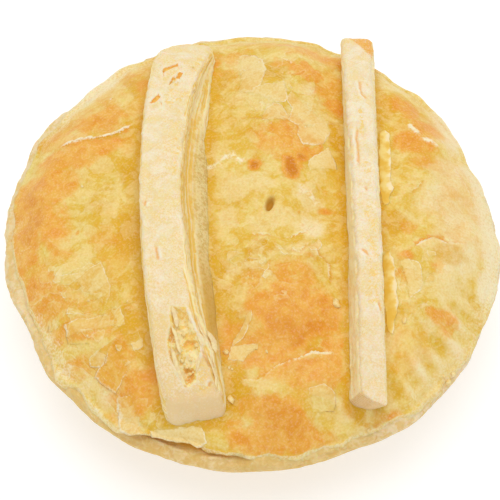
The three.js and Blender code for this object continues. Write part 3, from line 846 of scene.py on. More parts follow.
def case_profile():
    """Radii and heights from the middle of the case's base, round the rim, to the middle of its top."""
    rim_bottom = RIM_TOP - RIM_THICKNESS
    base = WALL_TOP - rim_bottom * math.tan(WALL_TAPER)
    corners = [
        (0, 0), (base * 0.5, 0), (base - BASE_CORNER, 0), (base - 0.5, 0.25), (base, BASE_CORNER * 0.6),
        (WALL_TOP, rim_bottom - 1.2), (WALL_TOP + 1.4, rim_bottom), (RIM_RADIUS - 1, rim_bottom + 0.5),
        (RIM_RADIUS, rim_bottom + 1.7), (RIM_RADIUS + 0.1, RIM_TOP - 1.6), (RIM_RADIUS - 0.7, RIM_TOP - 0.4),
        (RIM_RADIUS - 2.4, RIM_TOP), (RIM_RADIUS - 6, RIM_TOP), (0, RIM_TOP),
    ]
    radii, heights = [], []
    for (r0, z0), (r1, z1), count in zip(corners, corners[1:], CASE_STEPS):
        for i in range(count):
            radii.append(mix(r0, r1, i / count))
            heights.append(mix(z0, z1, i / count))
    radii, heights = np.array(radii[1:]), np.array(heights[1:])
    for _ in range(2):
        radii[1:-1] = (radii[:-2] + 2 * radii[1:-1] + radii[2:]) / 4
        heights[1:-1] = (heights[:-2] + 2 * heights[1:-1] + heights[2:]) / 4
    return radii, heights


def make_case(finish):
    """The case, as a profile turned round the pie's middle."""
    radii, heights = case_profile()
    angle = np.arange(CASE_AROUND) / CASE_AROUND * 2 * math.pi
    radius, turn = np.meshgrid(radii, angle, indexing="ij")
    height = np.meshgrid(heights, angle, indexing="ij")[0]
    outer = smooth(radius, WALL_TOP, RIM_RADIUS)
    run = turn * RIM_RADIUS
    steps = np.hypot(np.diff(radii, prepend=radii[0]), np.diff(heights, prepend=heights[0]))
    profile = np.cumsum(steps)[:, None]
    join = smooth(np.minimum(turn, 2 * math.pi - turn), 0, 0.05)
    rough = 0.3 * grit(run, profile, 3, 101) + 0.16 * grit(run, 2 * profile, 1.2, 103)
    layers = 0.2 * noise(run / 6, profile, 0.9, 107)
    bulge = 0.4 * noise(run, profile, 9, 105)
    rough = join * (rough + outer * (bulge + layers))
    grown = radius + (waves(OUTLINE_WAVES, turn) + bulges(RIM_BULGES, turn)) * (radius / RIM_RADIUS) ** 2
    side = smooth(height, 0.3, 2) * smooth(radius, 30, 42)
    grown = grown + side * rough
    z = height - outer * (RIM_DROOP + waves(RIM_WAVES, turn)) + outer * side * 0.8 * rough
    lip_radius = RIM_LIP_RADIUS + 0.5 * noise(run, 0, 6, 111)
    lip = facing_way(turn, -101, 0.955, 0.985) * peak(radius, lip_radius, RIM_LIP_WIDTH)
    lip = lip * smooth(noise(run, 0, 4, 113), -0.8, 0) * (height > RIM_LIP_FROM)
    z = z + RIM_LIP_HEIGHT * lip
    places = np.stack([grown * np.cos(turn), grown * np.sin(turn), z], -1).reshape(-1, 3)
    faces = quads(len(radii), CASE_AROUND, closed=True).tolist()
    count = len(places)
    first = np.arange(CASE_AROUND)
    faces += fan(count, first[::-1])
    faces += fan(count + 1, first + count - CASE_AROUND)
    places = np.concatenate([places, [[0, 0, 0], [0, 0, RIM_TOP]]])
    # The rim is darker and tanner towards the front, with some noise.
    front_tan = facing_way(turn, -105, 0.5, 0.9) + 0.4 * noise(run, profile, 12, 109)
    white = facing_way(turn, -40, 0.75, 0.95)
    # Painted shade on the rim under the lid's gaping front edge.
    under_lid_shade = (1 - smooth(radius, *LID_COVERS)) * (height > RIM_TOP - 0.6)
    under_lid_shade = under_lid_shade * facing_way(turn, -104, 0.86, 0.95)
    values = {"front_tan": front_tan, "relief": rough + 0.5 * lip + 0.5 * white, "under_lid_shade": under_lid_shade}
    values = {label: [*value.ravel(), 0, 0] for label, value in values.items()}
    return make_piece("case", places, faces, finish, values)


def box_surface(counts):
    """The surface of a box, one unit each way, as a grid of places and four-cornered faces."""
    sheets = []
    for axis in range(3):
        u, v = (axis + 1) % 3, (axis + 2) % 3
        i, j = np.meshgrid(np.arange(counts[u]), np.arange(counts[v]), indexing="ij")
        for side in (0, counts[axis]):
            quad = np.zeros(i.shape + (4, 3), int)
            for corner, (du, dv) in enumerate([(0, 0), (1, 0), (1, 1), (0, 1)]):
                quad[..., corner, u] = i + du
                quad[..., corner, v] = j + dv
                quad[..., corner, axis] = side
            sheets.append(quad.reshape(-1, 4, 3)[:, ::1 if side else -1])
    quad = np.concatenate(sheets)
    keys = (quad[..., 0] * (counts[1] + 1) + quad[..., 1]) * (counts[2] + 1) + quad[..., 2]
    _, first, index = np.unique(keys.ravel(), return_index=True, return_inverse=True)
    return quad.reshape(-1, 3)[first] / np.array(counts), index.reshape(-1, 4)


STRIP_STEP = 0.28
STRIP_TALL = 11.4
STRIP_CROWN = 0.35
# How round a strip's upper edges are, how far from an end its own rounding reaches, and how round a front
# end is that leaves the edges beside it as they are.
EDGE_ROUND = 1.7
FRONT_REACH = 14
BACK_REACH = 12
SQUARE_END = 1.8


def strip_form(strip):
    """A strip's plain form: each vertex's way along, across and up, and how it faces; and the faces."""
    front_end, back_end = strip_ends(strip)
    size = np.array([back_end - front_end, np.mean(strip["foot"]), STRIP_TALL])
    share, faces = box_surface([int(length / STRIP_STEP) for length in size])
    at = share * size
    front = 1 - smooth(at[:, 0], 0, FRONT_REACH)
    back = smooth(at[:, 0], size[0] - BACK_REACH, size[0])
    left = share[:, 1] < 0.5
    round_front, round_back, back_left, back_right = strip["round"]
    rounder = round_front - SQUARE_END
    left_edge = 0.6 * max(rounder, 0) * front + back_left * back
    sideways = EDGE_ROUND + np.where(left, left_edge, back_right * back) + front * min(rounder, 0)
    drop = EDGE_ROUND + 0.25 * round_back * back + front * min(rounder, 0.6)
    rounding = np.stack([mix(round_back, round_front, front), sideways, drop], -1)
    core = np.clip(at, rounding * [1, 1, 0], size - rounding)
    push = (at - core) / rounding
    reach = np.linalg.norm(push, axis=1, keepdims=True)
    facing = push / np.maximum(reach, 1e-9)
    at = core + facing * rounding * np.minimum(reach, 1)
    along, across, up = (at / size).T
    return along, 2 * across - 1, up, facing, faces[:, ::-1]


def bend_strip(strip, along, across, up, crown):
    """Lays a strip's plain form along its path and over the dome."""
    rise = mix(up, smooth(up, 0.2, 0.75), strip["ledge"] * smooth(across, 0, 0.6))
    width = mix(through(strip["foot"], along), through(strip["top"], along), rise)
    side = through(strip["lean"], along) * rise + across * width / 2
    middle, way = curve(strip["path"], along)
    foot, top = (through(tip, (across + 1) / 2) for tip in strip["tip"])
    drawn = mix(foot, top, up)
    slant = drawn * (1 - along) ** 12 - strip["skew"] * np.maximum(0, -across) * along ** 16
    x = middle[:, 0] + way[:, 1] * side + way[:, 0] * slant
    y = middle[:, 1] - way[:, 0] * side + way[:, 1] * slant
    floor = np.maximum(dome_top(x, y) - STRIP_SUNK, LID_BOTTOM + STRIP_FLOOR)
    top = dome_top(middle[:, 0], middle[:, 1]) + through(strip["height"], along) + crown
    return np.stack([x, y, mix(floor, top, up)], -1)


def within(x, y, outline):
    """How far each place is inside a closed outline; less than 0 outside."""
    closed = [*outline, outline[0]]
    far = np.abs(along_line(x, y, closed)[0])
    inside = np.zeros(x.shape, bool)
    for (x0, y0), (x1, y1) in zip(closed, closed[1:]):
        crosses = (y0 > y) != (y1 > y)
        inside ^= crosses & (x < x0 + (y - y0) * (x1 - x0) / ((y1 - y0) or 1))
    return np.where(inside, far, -far)


def strip_top(strip, share, off):
    """Places on a strip's top, before its fine relief."""
    across = 2 * off / through(strip["top"], share)
    return bend_strip(strip, share, across, np.ones(share.shape), STRIP_CROWN * (1 - across ** 2))


# The burst blister near the front end of the left strip: its outline, the orange hollows in it, and the
# folds of skin and grooves beside it, with their height, half width and line. Places on a strip are a share
# along it and millimetres across from the middle of its top.
POCKET = [
    (0.214, -0.6), (0.208, 2.8), (0.172, 3.2), (0.128, 4.3), (0.1, 3.6), (0.072, 2.3), (0.038, 1.6),
    (0.026, -1.2), (0.066, -2.1), (0.102, -3), (0.132, -3), (0.158, -2), (0.172, -1.2), (0.192, -1.3),
]
POCKET_DEPTH = 0.95
HOLLOWS = [
    [(0.172, -1.1), (0.144, -0.3), (0.13, -0.4), (0.132, -1.8), (0.138, -2.8), (0.156, -2.1)],
    [(0.136, -2.9), (0.108, -2.9), (0.084, -2.8), (0.056, -2.4), (0.024, -1.3), (0.036, -1.4),
      (0.066, -2.2), (0.1, -2.4)],
    [(0.074, -0.5), (0.066, 1.8), (0.045, 1.2), (0.036, 0.2), (0.04, -0.6)],
    [(0.122, 0.4), (0.136, 1.8), (0.128, 3.2), (0.122, 2.8), (0.126, 1.8), (0.116, 0.6)],
]
FOLDS = [
    (0.4, 0.45, [(0.212, 3.1), (0.168, 3.7), (0.124, 4.9), (0.1, 3.9), (0.078, 2.8)]),
    (-0.5, 0.4, [(0.108, 4.1), (0.086, 4.7), (0.066, 5.4)]),
    (-0.3, 0.3, [(0.19, 4.4), (0.15, 5), (0.122, 5.9), (0.1, 6)]),
]
# Shreds of skin that stand in the blister: width, how far they lie below the top, how steeply they fall to
# the right, and their line.
SHREDS = [
    (1.1, -0.1, 0, [(0.214, -0.3), (0.188, 0.1), (0.164, 0.2)]),
    (0.8, 0.1, 0.2, [(0.172, -0.9), (0.136, -0.4), (0.104, -0.6)]),
    (1, 0, -0.2, [(0.122, -1.9), (0.078, -1.7), (0.03, -0.9)]),
    (0.7, -0.1, 0, [(0.202, 3.1), (0.162, 3.8), (0.106, 4.5)]),
    (0.6, 0.1, 0, [(0.112, 4.4), (0.084, 2.9), (0.056, 1.8)]),
    (0.5, -0.05, 0.1, [(0.19, 4.6), (0.136, 5.6), (0.106, 6.2), (0.064, 6)]),
    (0.5, 0, 0.1, [(0.1, 4.9), (0.072, 5.4), (0.038, 5.8), (0.012, 5.6)]),
    (1.3, 0.4, 0.4, [(0.152, 6.5), (0.128, 7.1), (0.1, 6.9)]),
]
# Holes in the left strip's skin near its back end, with the orange layer below showing.
LEFT_HOLES = [
    [(0.864, -3), (0.882, -3.1), (0.887, -1.6), (0.898, 0), (0.889, 0.1), (0.876, -1.3), (0.866, -2.3)],
    [(0.868, -2.9), (0.866, -2.5), (0.846, -2.1), (0.846, -2.5)],
    [(0.815, -0.5), (0.838, -0.4), (0.85, 0.1), (0.832, 0.7)],
    [(0.842, 0.7), (0.862, 0.8), (0.862, 1.8), (0.838, 1.7)],
    [(0.752, -4.2), (0.77, -3.2), (0.786, -2.4), (0.772, -1.8), (0.756, -2.6)],
    [(0.758, -1.7), (0.758, -1.1), (0.738, -1.1)],
    [(0.79, 5), (0.812, 5.6), (0.8, 6.4), (0.79, 6.1)],
]
LEFT_TEARS = [
    [(0.32, -1.6), (0.36, -1.8)],
    [(0.46, -3.8), (0.475, -3.2)],
    [(0.035, 4.9), (0.03, 4.2), (0.02, 3.8)],
]
RIGHT_TEARS = [
    [(0.835, 0.2), (0.81, 0.2), (0.785, 0.5), (0.77, 1.4), (0.765, 2)],
    [(0.69, -1), (0.65, -1.3), (0.6, -1.2), (0.56, -1.2)],
    [(0.508, -0.2), (0.498, 0.3)],
    [(0.345, -1.7), (0.335, -0.8), (0.325, 0)],
    [(0.215, 1.6), (0.19, 2.2)],
]
# How wide a band of layers shows along the right edge of the left strip's top: shares along, and widths.
LAYERED_ALONG = [0, 0.05, 0.13, 0.3, 0.4, 0.6, 0.72, 0.8, 0.86, 1]
LAYERED_WIDTH = [1.2, 2.2, 2.6, 2.6, 1, 0.8, 1.4, 1.6, 0.4, 0.3]
LAYER_PITCH = 0.8
# Keeps the noise of a strip's two sides apart.
SIDES_APART = 40

# Patches of each strip's top where the floury skin has chipped off: share along, millimetres across, and
# reach along and across.
LEFT_CHIPS = [
    (0.045, 3, 4, 2.4), (0.86, -1, 4, 2), (0.84, 0.8, 3, 1.5), (0.77, 0.6, 3, 1.7), (0.78, 3.4, 2, 1),
    (0.6, 3, 6, 1), (0.9, 4.5, 3, 1.5),
]
RIGHT_CHIPS = [
    (0.33, 0.9, 9, 1.6), (0.25, 0.6, 6, 1.3), (0.42, 0.8, 4, 1.4), (0.56, 0.5, 2, 1), (0.7, 0, 5, 0.8),
]


def stretched(line, length):
    """A line on a strip with its shares along turned into millimetres."""
    return [(share * length, off) for share, off in line]


def inside_any(s, t, length, outlines):
    """How far each place is inside the outlines on a strip's top; less than 0 outside."""
    depth = np.full(s.shape, -FAR_OFF)
    for outline in outlines:
        depth = np.maximum(depth, within(s, t, stretched(outline, length)))
    return depth


def strip_tears(s, t, length, lines, ragged):
    """Tears in a strip's skin: how open they are, where their lips are, and their relief."""
    torn, lip, move = (np.zeros(s.shape) for _ in range(3))
    for line in lines:
        left, way = along_line(s, t, stretched(line, length))
        left = left + ragged
        strength = tapered(way, 0.2)
        torn = np.maximum(torn, strength * peak(left, 0, 0.25))
        lip = np.maximum(lip, strength * peak(left, 0.6, 0.35))
        move += strength * (0.2 * peak(left, 0.8, 0.6) - 0.3 * peak(left, 0, 0.3))
    return torn, lip, move


def strip_chips(s, t, length, chips, seed):
    """Where the floury skin of a strip has chipped off."""
    chipped = np.zeros(s.shape)
    rough = 0.9 * grit(s, t, 1.6, seed, 4)
    for share, off, reach_s, reach_t in chips:
        far = np.hypot((s - share * length) / reach_s, (t - off) / reach_t) + rough
        chipped = np.maximum(chipped, 1 - smooth(far, 0.7, 1))
    return chipped


def strip_folds(s, t, length, ragged):
    """The folds beside the blister: how far ridges and grooves show, and their relief."""
    ridge, groove, move = (np.zeros(s.shape) for _ in range(3))
    for height, half, line in FOLDS:
        left, way = along_line(s, t, stretched(line, length))
        fold = tapered(way, 0.15) * peak(left + 0.8 * ragged, 0, half)
        move += height * fold
        ridge = np.maximum(ridge, (height > 0) * 0.6 * fold)
        groove = np.maximum(groove, (height < 0) * 0.6 * fold)
    return ridge, groove, move


def make_strip(name, strip, finish, seed, layers, tears, chips, holes, burst):
    """A strip with its layers, its floury skin and what has happened to that."""
    along, across, up, facing, faces = strip_form(strip)
    front_end, back_end = strip_ends(strip)
    length = back_end - front_end
    s = along * length
    t = across * through(strip["top"], along) / 2
    places = bend_strip(strip, along, across, up, STRIP_CROWN * (1 - across ** 2))
    straight = outward(places, faces)
    top = smooth(facing[:, 2], 0.25, 0.9)
    end = smooth(np.abs(facing[:, 0]), 0.5, 0.95)

    # The layers that the cut sides show, and the band of them on the burst strip's top.
    hand = s + SIDES_APART * np.sign(facing[:, 1])
    inset = np.maximum(through(strip["top"], along) / 2 - t, 0)
    width = np.interp(along, LAYERED_ALONG, LAYERED_WIDTH) * (0.8 + 0.3 * noise(s, 0, 4, seed + 5))
    band = burst * top * (1 - end) * (1 - smooth(inset, 0.6 * width, width))
    cut = np.maximum((1 - top) * (1 - end) * smooth(up, 0.12, 0.3), band)
    level = up * layers + top * inset / LAYER_PITCH
    level += 0.8 * noise(hand, 0, 21, seed) + 0.45 * noise(hand, 3 * up, 6, seed + 1)
    level += (not burst) * 0.6 * grit(hand, 5 * up, 3, seed + 4)
    split = smooth(noise(hand, 40 * np.floor(level), 6, seed + 2), -0.4, 0.4)
    split = split * (1 - 0.8 * smooth(along, 0.8, 0.9))
    gap = split * peak(level - np.floor(level), 0.5, 0.16)
    stands = noise(hand / 3, 40 * np.round(level), 5, seed + 3)
    stretch = smooth(along, 0.1, 0.2) * (1 - smooth(along, 0.62, 0.78))
    doughy = strip["ledge"] * smooth(across, 0.2, 0.6) * (1 - smooth(up, 0.42, 0.6)) * stretch

    # The relief of skin, sides and upper edges.
    skin = 0.25 * noise(s, t, 8, seed + 11) + 0.18 * grit(s, t, 2.4, seed + 12)
    skin += 0.1 * grit(s, t, 0.8, seed + 13)
    coarse = grit(hand, 9 * up, 1.3, seed + 14)
    ragged = 0.3 * grit(s, t, 1.2, seed + 19)
    move = (top + end) * skin + cut * (1 - doughy) * (0.14 * stands - 0.18 * gap + 0.2 * coarse)
    move += doughy * 0.12 * coarse
    upper = peak(facing[:, 2], 0.5, 0.35) * (1 - end)
    move += upper * (0.6 * grit(hand, 3 * up, 1.9, seed + 23, 4) - 0.1)

    # What has happened to the skin.
    torn, lip, tear_relief = (top * value for value in strip_tears(s, t, length, tears, ragged))
    chipped = top * strip_chips(s, t, length, chips, seed + 21)
    hole = np.where(top > 0.3, inside_any(s, t, length, holes) + ragged, -FAR_OFF)
    move += tear_relief - 0.15 * chipped + 0.15 * peak(hole, -0.4, 0.4) - 0.5 * smooth(hole, -0.1, 0.3)
    pocket = np.full(s.shape, -FAR_OFF)
    hollow = np.zeros(s.shape)
    if burst:
        pocket = np.where(top > 0.3, inside_any(s, t, length, [POCKET]) + 0.8 * ragged, -FAR_OFF)
        inside = smooth(pocket, -0.05, 0.35)
        hollow = inside * smooth(inside_any(s, t, length, HOLLOWS) + ragged, -0.4, 0.5)
        ridge, groove, fold_relief = (top * value for value in strip_folds(s, t, length, ragged))
        lip, torn = np.maximum(lip, ridge), np.maximum(torn, groove)
        lumps = 0.5 * grit(s, t, 2, seed + 17) + 0.45 * grit(s, t, 1, seed + 18)
        move += fold_relief + inside * (lumps - 0.6 * hollow) - POCKET_DEPTH * smooth(pocket, 0, 1.3)
        right = smooth(facing[:, 1], 0.3, 0.8)
        move += 0.8 * right * smooth(up, 0.4, 0.8) * peak(along, 0.125, 0.045)
    places = places + straight * move[:, None]

    # The toasted back corner of the strip that is not burst.
    corner = smooth(40 * (along - 0.955) + 0.5 * (t - 0.8), -0.4, 0.5)
    streak = 0.45 * peak(t, 2, 1.3) * smooth(along, 0.88, 0.96)
    corner = np.maximum(corner, streak) * (not burst)
    values = {"top": top - band, "end": end, "level": level, "split": cut * split, "stands": stands}
    values |= {"doughy": doughy, "along": along, "white": np.full(s.shape, float(not burst))}
    values |= {"torn": torn, "lip": lip, "chipped": chipped, "corner": corner}
    values |= {"hole": hole, "pocket": pocket, "hollow": hollow}
    return make_piece(name, places, faces, finish, values)


# Layers that have peeled from the right strip's outer side: rows of Y, and X of their inner and outer edges.
PEELED_LAYERS = [
    [(23.4, 30.9, 31.6), (22.4, 30.2, 32.6), (16.8, 29.9, 32.5), (12, 29.7, 32.4), (8.4, 29.9, 32.1),
      (6.2, 29.6, 32.8), (4.4, 29.9, 32), (3.2, 30, 31.6), (2.2, 30.1, 31.8), (1.5, 30.5, 31.2)],
    [(-10, 31, 31.3), (-11.2, 29.9, 31.6), (-12, 29.7, 32.1), (-15, 29.7, 32.3), (-20, 29.7, 32.5),
      (-22.6, 29.7, 32.7), (-25, 29.9, 32.4), (-27, 30.1, 31.9), (-29, 30.4, 31.8), (-29.8, 31, 31.4)],
]
# How thick they are, most of it sunk into the lid, how high their inner edge lies, and how far it slopes up.
PEEL_THICKNESS = 1
PEEL_HEIGHT = 0.18
PEEL_SLOPE = 0.15
PEEL_ROWS = 110
PEEL_COLUMNS = 16
PEEL_SMOOTHING = 60


def thin_sheet(top, thickness, first):
    """A closed thin sheet under a grid of places: all its places, and its faces from a first vertex on."""
    rows, columns = top.shape[:2]
    grid = quads(rows, columns)
    second = first + rows * columns
    border = grid_border(rows, columns)
    faces = (first + grid).tolist() + (second + grid[:, ::-1]).tolist()
    faces += belt(second + border, first + border)
    return np.concatenate([top.reshape(-1, 3), (top - [0, 0, thickness]).reshape(-1, 3)]), faces


def make_thin_piece(name, sheets, thickness, finish):
    """One piece from several thin sheets, each with its top and how far out each place is on it."""
    places, faces, outs = [], [], []
    for top, out in sheets:
        sheet, sides = thin_sheet(top, thickness, sum(map(len, places)))
        places.append(sheet)
        faces += sides
        outs += 2 * [out.ravel()]
    values = {"out": np.concatenate(outs)}
    return make_piece(name, np.concatenate(places), faces, finish, values, crisp=True)


SHRED_ROWS = 60
SHRED_COLUMNS = 9
SHRED_THICKNESS = 0.3


def make_shreds(finish):
    """Thin shreds of the left strip's torn skin."""
    front_end, back_end = strip_ends(LEFT_STRIP)
    shares = np.linspace(0, 1, SHRED_ROWS), np.linspace(-1, 1, SHRED_COLUMNS)
    way, out = np.meshgrid(*shares, indexing="ij")
    sheets = []
    for number, (width, drop, fall, line) in enumerate(SHREDS):
        at = way * (len(line) - 1)
        share, off = (np.interp(at, np.arange(len(line)), values) for values in zip(*line))
        run = share * (back_end - front_end)
        off = off + 0.3 * noise(run, 0, 2.5, 900 + number)
        ragged = 1 + 0.35 * grit(run, 4 * np.sign(out), 1.4, 910 + number)
        slim = np.sqrt(np.maximum(tapered(way, 0.25), 0.02))
        off = off + out * ragged * slim * width / 2
        place = strip_top(LEFT_STRIP, share.ravel(), off.ravel()).reshape(*out.shape, 3)
        arch = 0.12 * (1 - out ** 2) + 0.15 * noise(run, out, 2, 920 + number)
        place[..., 2] += arch - drop - fall * out * width / 2
        sheets.append((place[:, ::-1], np.abs(out)))
    return make_thin_piece("strip_shreds", sheets, SHRED_THICKNESS, finish)


def make_peeled(finish):
    """Thin layers that lie along the foot of the right strip, with ragged edges."""
    shares = np.linspace(0, 1, PEEL_ROWS), np.linspace(0, 1, PEEL_COLUMNS)
    along, out = np.meshgrid(*shares, indexing="ij")
    sheets = []
    for number, layer in enumerate(PEELED_LAYERS):
        rows = np.array(layer)[::-1]
        y = mix(rows[0, 0], rows[-1, 0], along)
        inner, outer = (np.interp(y, rows[:, 0], rows[:, edge]) for edge in (1, 2))
        outer = outer + 0.4 * grit(y, 0, 1.7, 700 + 9 * number)
        inner = inner - 0.3 * grit(y, 7, 1.9, 705 + 9 * number)
        x = mix(inner, outer, out)
        ground = lid_relief(x.ravel(), y.ravel())[0].reshape(x.shape)
        for _ in range(PEEL_SMOOTHING):
            ground[1:-1] = (ground[:-2] + 2 * ground[1:-1] + ground[2:]) / 4
        sheets.append((np.stack([x, y, ground + PEEL_HEIGHT + PEEL_SLOPE * out], -1), out))
    return make_thin_piece("peeled_layers", sheets, PEEL_THICKNESS, finish)


# Crumbs on the lid: place in plan, and length, width and height.
CRUMBS = [
    (19.1, -23.4, 2.6, 1.6, 1), (-5.2, -35.1, 1.2, 1.1, 0.8), (-4.5, -38.7, 0.7, 0.6, 0.5),
    (-3.9, -39.1, 0.5, 0.5, 0.4), (-4.2, -44.9, 2.6, 1.2, 0.8), (34, -26.8, 1.5, 1, 0.5),
    (-38.5, 8, 0.7, 0.6, 0.4), (3.6, -35.2, 0.9, 0.5, 0.3), (44, -37.6, 1.4, 1.2, 0.9),
    (45.2, -35.6, 1.1, 1, 0.8), (43, -36.2, 0.8, 0.8, 0.6), (26, -49.5, 1.2, 0.8, 0.5),
    (28, -49, 0.9, 0.7, 0.5),
]
# Crumbs on the left strip: share along, millimetres across, depth below its top, length, width and height.
STRIP_CRUMBS = [
    (0.15, 1.1, 0.9, 0.9, 0.8, 0.7), (0.122, 3.4, 0.7, 1.1, 0.9, 0.8), (0.092, -0.3, 0.8, 1, 0.9, 0.8),
    (0.092, 1.5, 0.9, 0.8, 0.8, 0.7), (0.076, 0.3, 0.9, 0.9, 0.7, 0.7), (0.07, 2, 0.8, 1, 0.8, 0.7),
    (0.06, 0.6, 0.8, 0.8, 0.8, 0.6), (0.064, 1.4, 0.9, 0.6, 0.6, 0.5), (0.828, 0.4, 0, 0.9, 0.6, 0.5),
    (0.824, 1.4, 0, 0.7, 0.5, 0.4), (0.816, -0.1, 0, 0.6, 0.5, 0.4), (0.8, 3.3, 0, 1, 0.6, 0.4),
    (0.856, 3, 0, 0.6, 0.5, 0.4), (0.888, 3.8, 0, 0.6, 0.5, 0.4),
]
STRAY_CRUMBS = 26
CRUMB_RINGS = 7
CRUMB_AROUND = 14


def crumb_ball():
    """A plain ball of the size 1, as places and faces."""
    polars = np.linspace(0, math.pi, CRUMB_RINGS + 2)[1:-1]
    turns = np.arange(CRUMB_AROUND) / CRUMB_AROUND * 2 * math.pi
    polar, turn = np.meshgrid(polars, turns, indexing="ij")
    rings = np.stack([np.sin(polar) * np.cos(turn), np.sin(polar) * np.sin(turn), np.cos(polar)], -1)
    places = np.concatenate([rings.reshape(-1, 3), [[0, 0, 1], [0, 0, -1]]])
    faces = [face[::-1] for face in quads(CRUMB_RINGS, CRUMB_AROUND, closed=True).tolist()]
    first = np.arange(CRUMB_AROUND)
    last = first + CRUMB_AROUND * (CRUMB_RINGS - 1)
    faces += fan(last[-1] + 1, first)
    faces += fan(last[-1] + 2, last[::-1])
    return places, faces


def make_crumbs(finish):
    """Small rough crumbs: the ones that show, and a few stray ones near the flaky parts of the lid."""
    draw = np.random.default_rng(17)
    crumbs = list(CRUMBS)
    for _ in range(STRAY_CRUMBS):
        middle_x, middle_y, reach = FLAKY_ZONES[draw.integers(len(FLAKY_ZONES))]
        x, y = draw.normal((middle_x, middle_y), 0.5 * reach)
        size = draw.uniform(0.25, 0.6)
        if clear_of_strips(x, y, CRUMB_CLEAR) and np.hypot(x, y) < CRUMB_BOUND:
            crumbs.append((x, y, size * 1.4, size, size * 0.7))
    strewn = [(x, y, lid_relief(np.array([x]), np.array([y]))[0][0], *size) for x, y, *size in crumbs]
    for share, off, depth, *size in STRIP_CRUMBS:
        x, y, z = strip_top(LEFT_STRIP, np.array([share]), np.array([off]))[0]
        strewn.append((x, y, z - depth, *size))
    ball, skin = crumb_ball()
    places, faces = [], []
    for number, (x, y, ground, length, width, tall) in enumerate(strewn):
        rough_x = 3 * ball[:, 0] + 2 * ball[:, 2]
        rough_y = 3 * ball[:, 1] - ball[:, 2]
        lump = ball * (1 + 0.35 * noise(rough_x, rough_y, 1.3, 800 + number)[:, None])
        lump = lump * np.array([width, length, tall]) / 2
        spin = draw.uniform(-0.5, 0.5)
        turned = np.array([[math.cos(spin), math.sin(spin)], [-math.sin(spin), math.cos(spin)]])
        flat = lump[:, :2] @ turned
        places.append(np.column_stack([flat + [x, y], lump[:, 2] + ground + 0.1 * tall]))
        faces += [[corner + number * len(ball) for corner in face] for face in skin]
    return make_piece("crumbs", np.concatenate(places), faces, finish)


class Wire:
    """A socket of a finish. Arithmetic on it adds Math nodes."""

    def __init__(self, finish, socket):
        self.finish = finish
        self.socket = socket

    def maths(self, operation, first, second):
        return self.finish.node("ShaderNodeMath", {"operation": operation}, {0: first, 1: second})

    def __add__(self, other):
        return self.maths("ADD", self, other)

    def __sub__(self, other):
        return self.maths("SUBTRACT", self, other)

    def __rsub__(self, other):
        return self.maths("SUBTRACT", other, self)

    def __mul__(self, other):
        return self.maths("MULTIPLY", self, other)

    __radd__ = __add__
    __rmul__ = __mul__


class Finish:
    """A material that is put together from nodes."""

    def __init__(self, name):
        self.material = bpy.data.materials.new(name)
        self.material.use_nodes = True
        self.tree = self.material.node_tree
        self.shader = next(n for n in self.tree.nodes if n.type == "BSDF_PRINCIPLED")
        self.where = self.node("ShaderNodeTexCoord", {}, {}, "Object")

    def node(self, kind, settings, sockets, output=0):
        """Adds a node. Its settings are set first, then its sockets get values or links."""
        made = self.tree.nodes.new(kind)
        for label, value in settings.items():
            setattr(made, label, value)
        for label, value in sockets.items():
            if isinstance(value, Wire):
                self.tree.links.new(value.socket, made.inputs[label])
            else:
                made.inputs[label].default_value = value
        return Wire(self, made.outputs[output])

    def value(self, label):
        """A named value on the mesh's vertices."""
        return self.node("ShaderNodeAttribute", {"attribute_name": label}, {}, "Fac")

    def mottle(self, size, detail=2.0, rough=0.5, swirl=0.0):
        """Cloudy noise from about 0.25 to 0.75 with spots of about the given size in millimetres."""
        sockets = {"Vector": self.where, "Scale": 1 / (size * MM), "Detail": detail}
        sockets |= {"Roughness": rough, "Distortion": swirl}
        return self.node("ShaderNodeTexNoise", {}, sockets, "Fac")

    def stir(self, size, detail=2.0, rough=0.5, swirl=0.0):
        """Cloudy noise from -0.5 to 0.5."""
        return self.band(self.mottle(size, detail, rough, swirl), 0.28, 0.72) - 0.5

    def band(self, value, low, high):
        """From 0 to 1 as a value goes from low to high."""
        settings = {"interpolation_type": "SMOOTHSTEP", "clamp": True}
        return self.node("ShaderNodeMapRange", settings, {"Value": value, "From Min": low, "From Max": high})

    def blend(self, share, first, second):
        """One colour where share is 0 and another where it is 1."""
        sockets = {"Factor": share, 6: first, 7: second}
        return self.node("ShaderNodeMix", {"data_type": "RGBA", "clamp_factor": True}, sockets, 2)

    def coats(self, skin, *layers):
        """Lays colours over one another, each where its share is above 0."""
        for share, tint in layers:
            skin = self.blend(share, skin, tint)
        return skin

    def fraction(self, value):
        """What is left of a value without its whole number, so that it climbs in steps."""
        return self.node("ShaderNodeMath", {"operation": "FRACT"}, {0: value})

    def zigzag(self, value, height):
        """A value folded to run up and down between 0 and a height."""
        return self.node("ShaderNodeMath", {"operation": "PINGPONG"}, {0: value, 1: height})

    def bump(self, height, depth):
        """Fine relief, with its depth in millimetres."""
        sockets = {"Height": height, "Strength": 1.0, "Distance": depth * MM}
        return self.node("ShaderNodeBump", {}, sockets)

    def set(self, **sockets):
        """Feeds the shader: links for what changes over the surface, plain values for what doesn't."""
        for label, value in sockets.items():
            socket = self.shader.inputs[label.replace("_", " ")]
            if isinstance(value, Wire):
                self.tree.links.new(value.socket, socket)
            else:
                socket.default_value = value

    def soften(self, weight):
        """Lets a little light into the pastry."""
        self.set(Subsurface_Weight=weight, Subsurface_Radius=(1.0, 0.5, 0.18), Subsurface_Scale=2 * MM)


def colour(red, green, blue):
    """A colour as seen on a screen, each part from 0 to 255, as the light it stands for."""
    shares = np.array([red, green, blue]) / 255
    light = np.where(shares <= 0.04045, shares / 12.92, ((shares + 0.055) / 1.055) ** 2.4)
    return (*light.tolist(), 1.0)


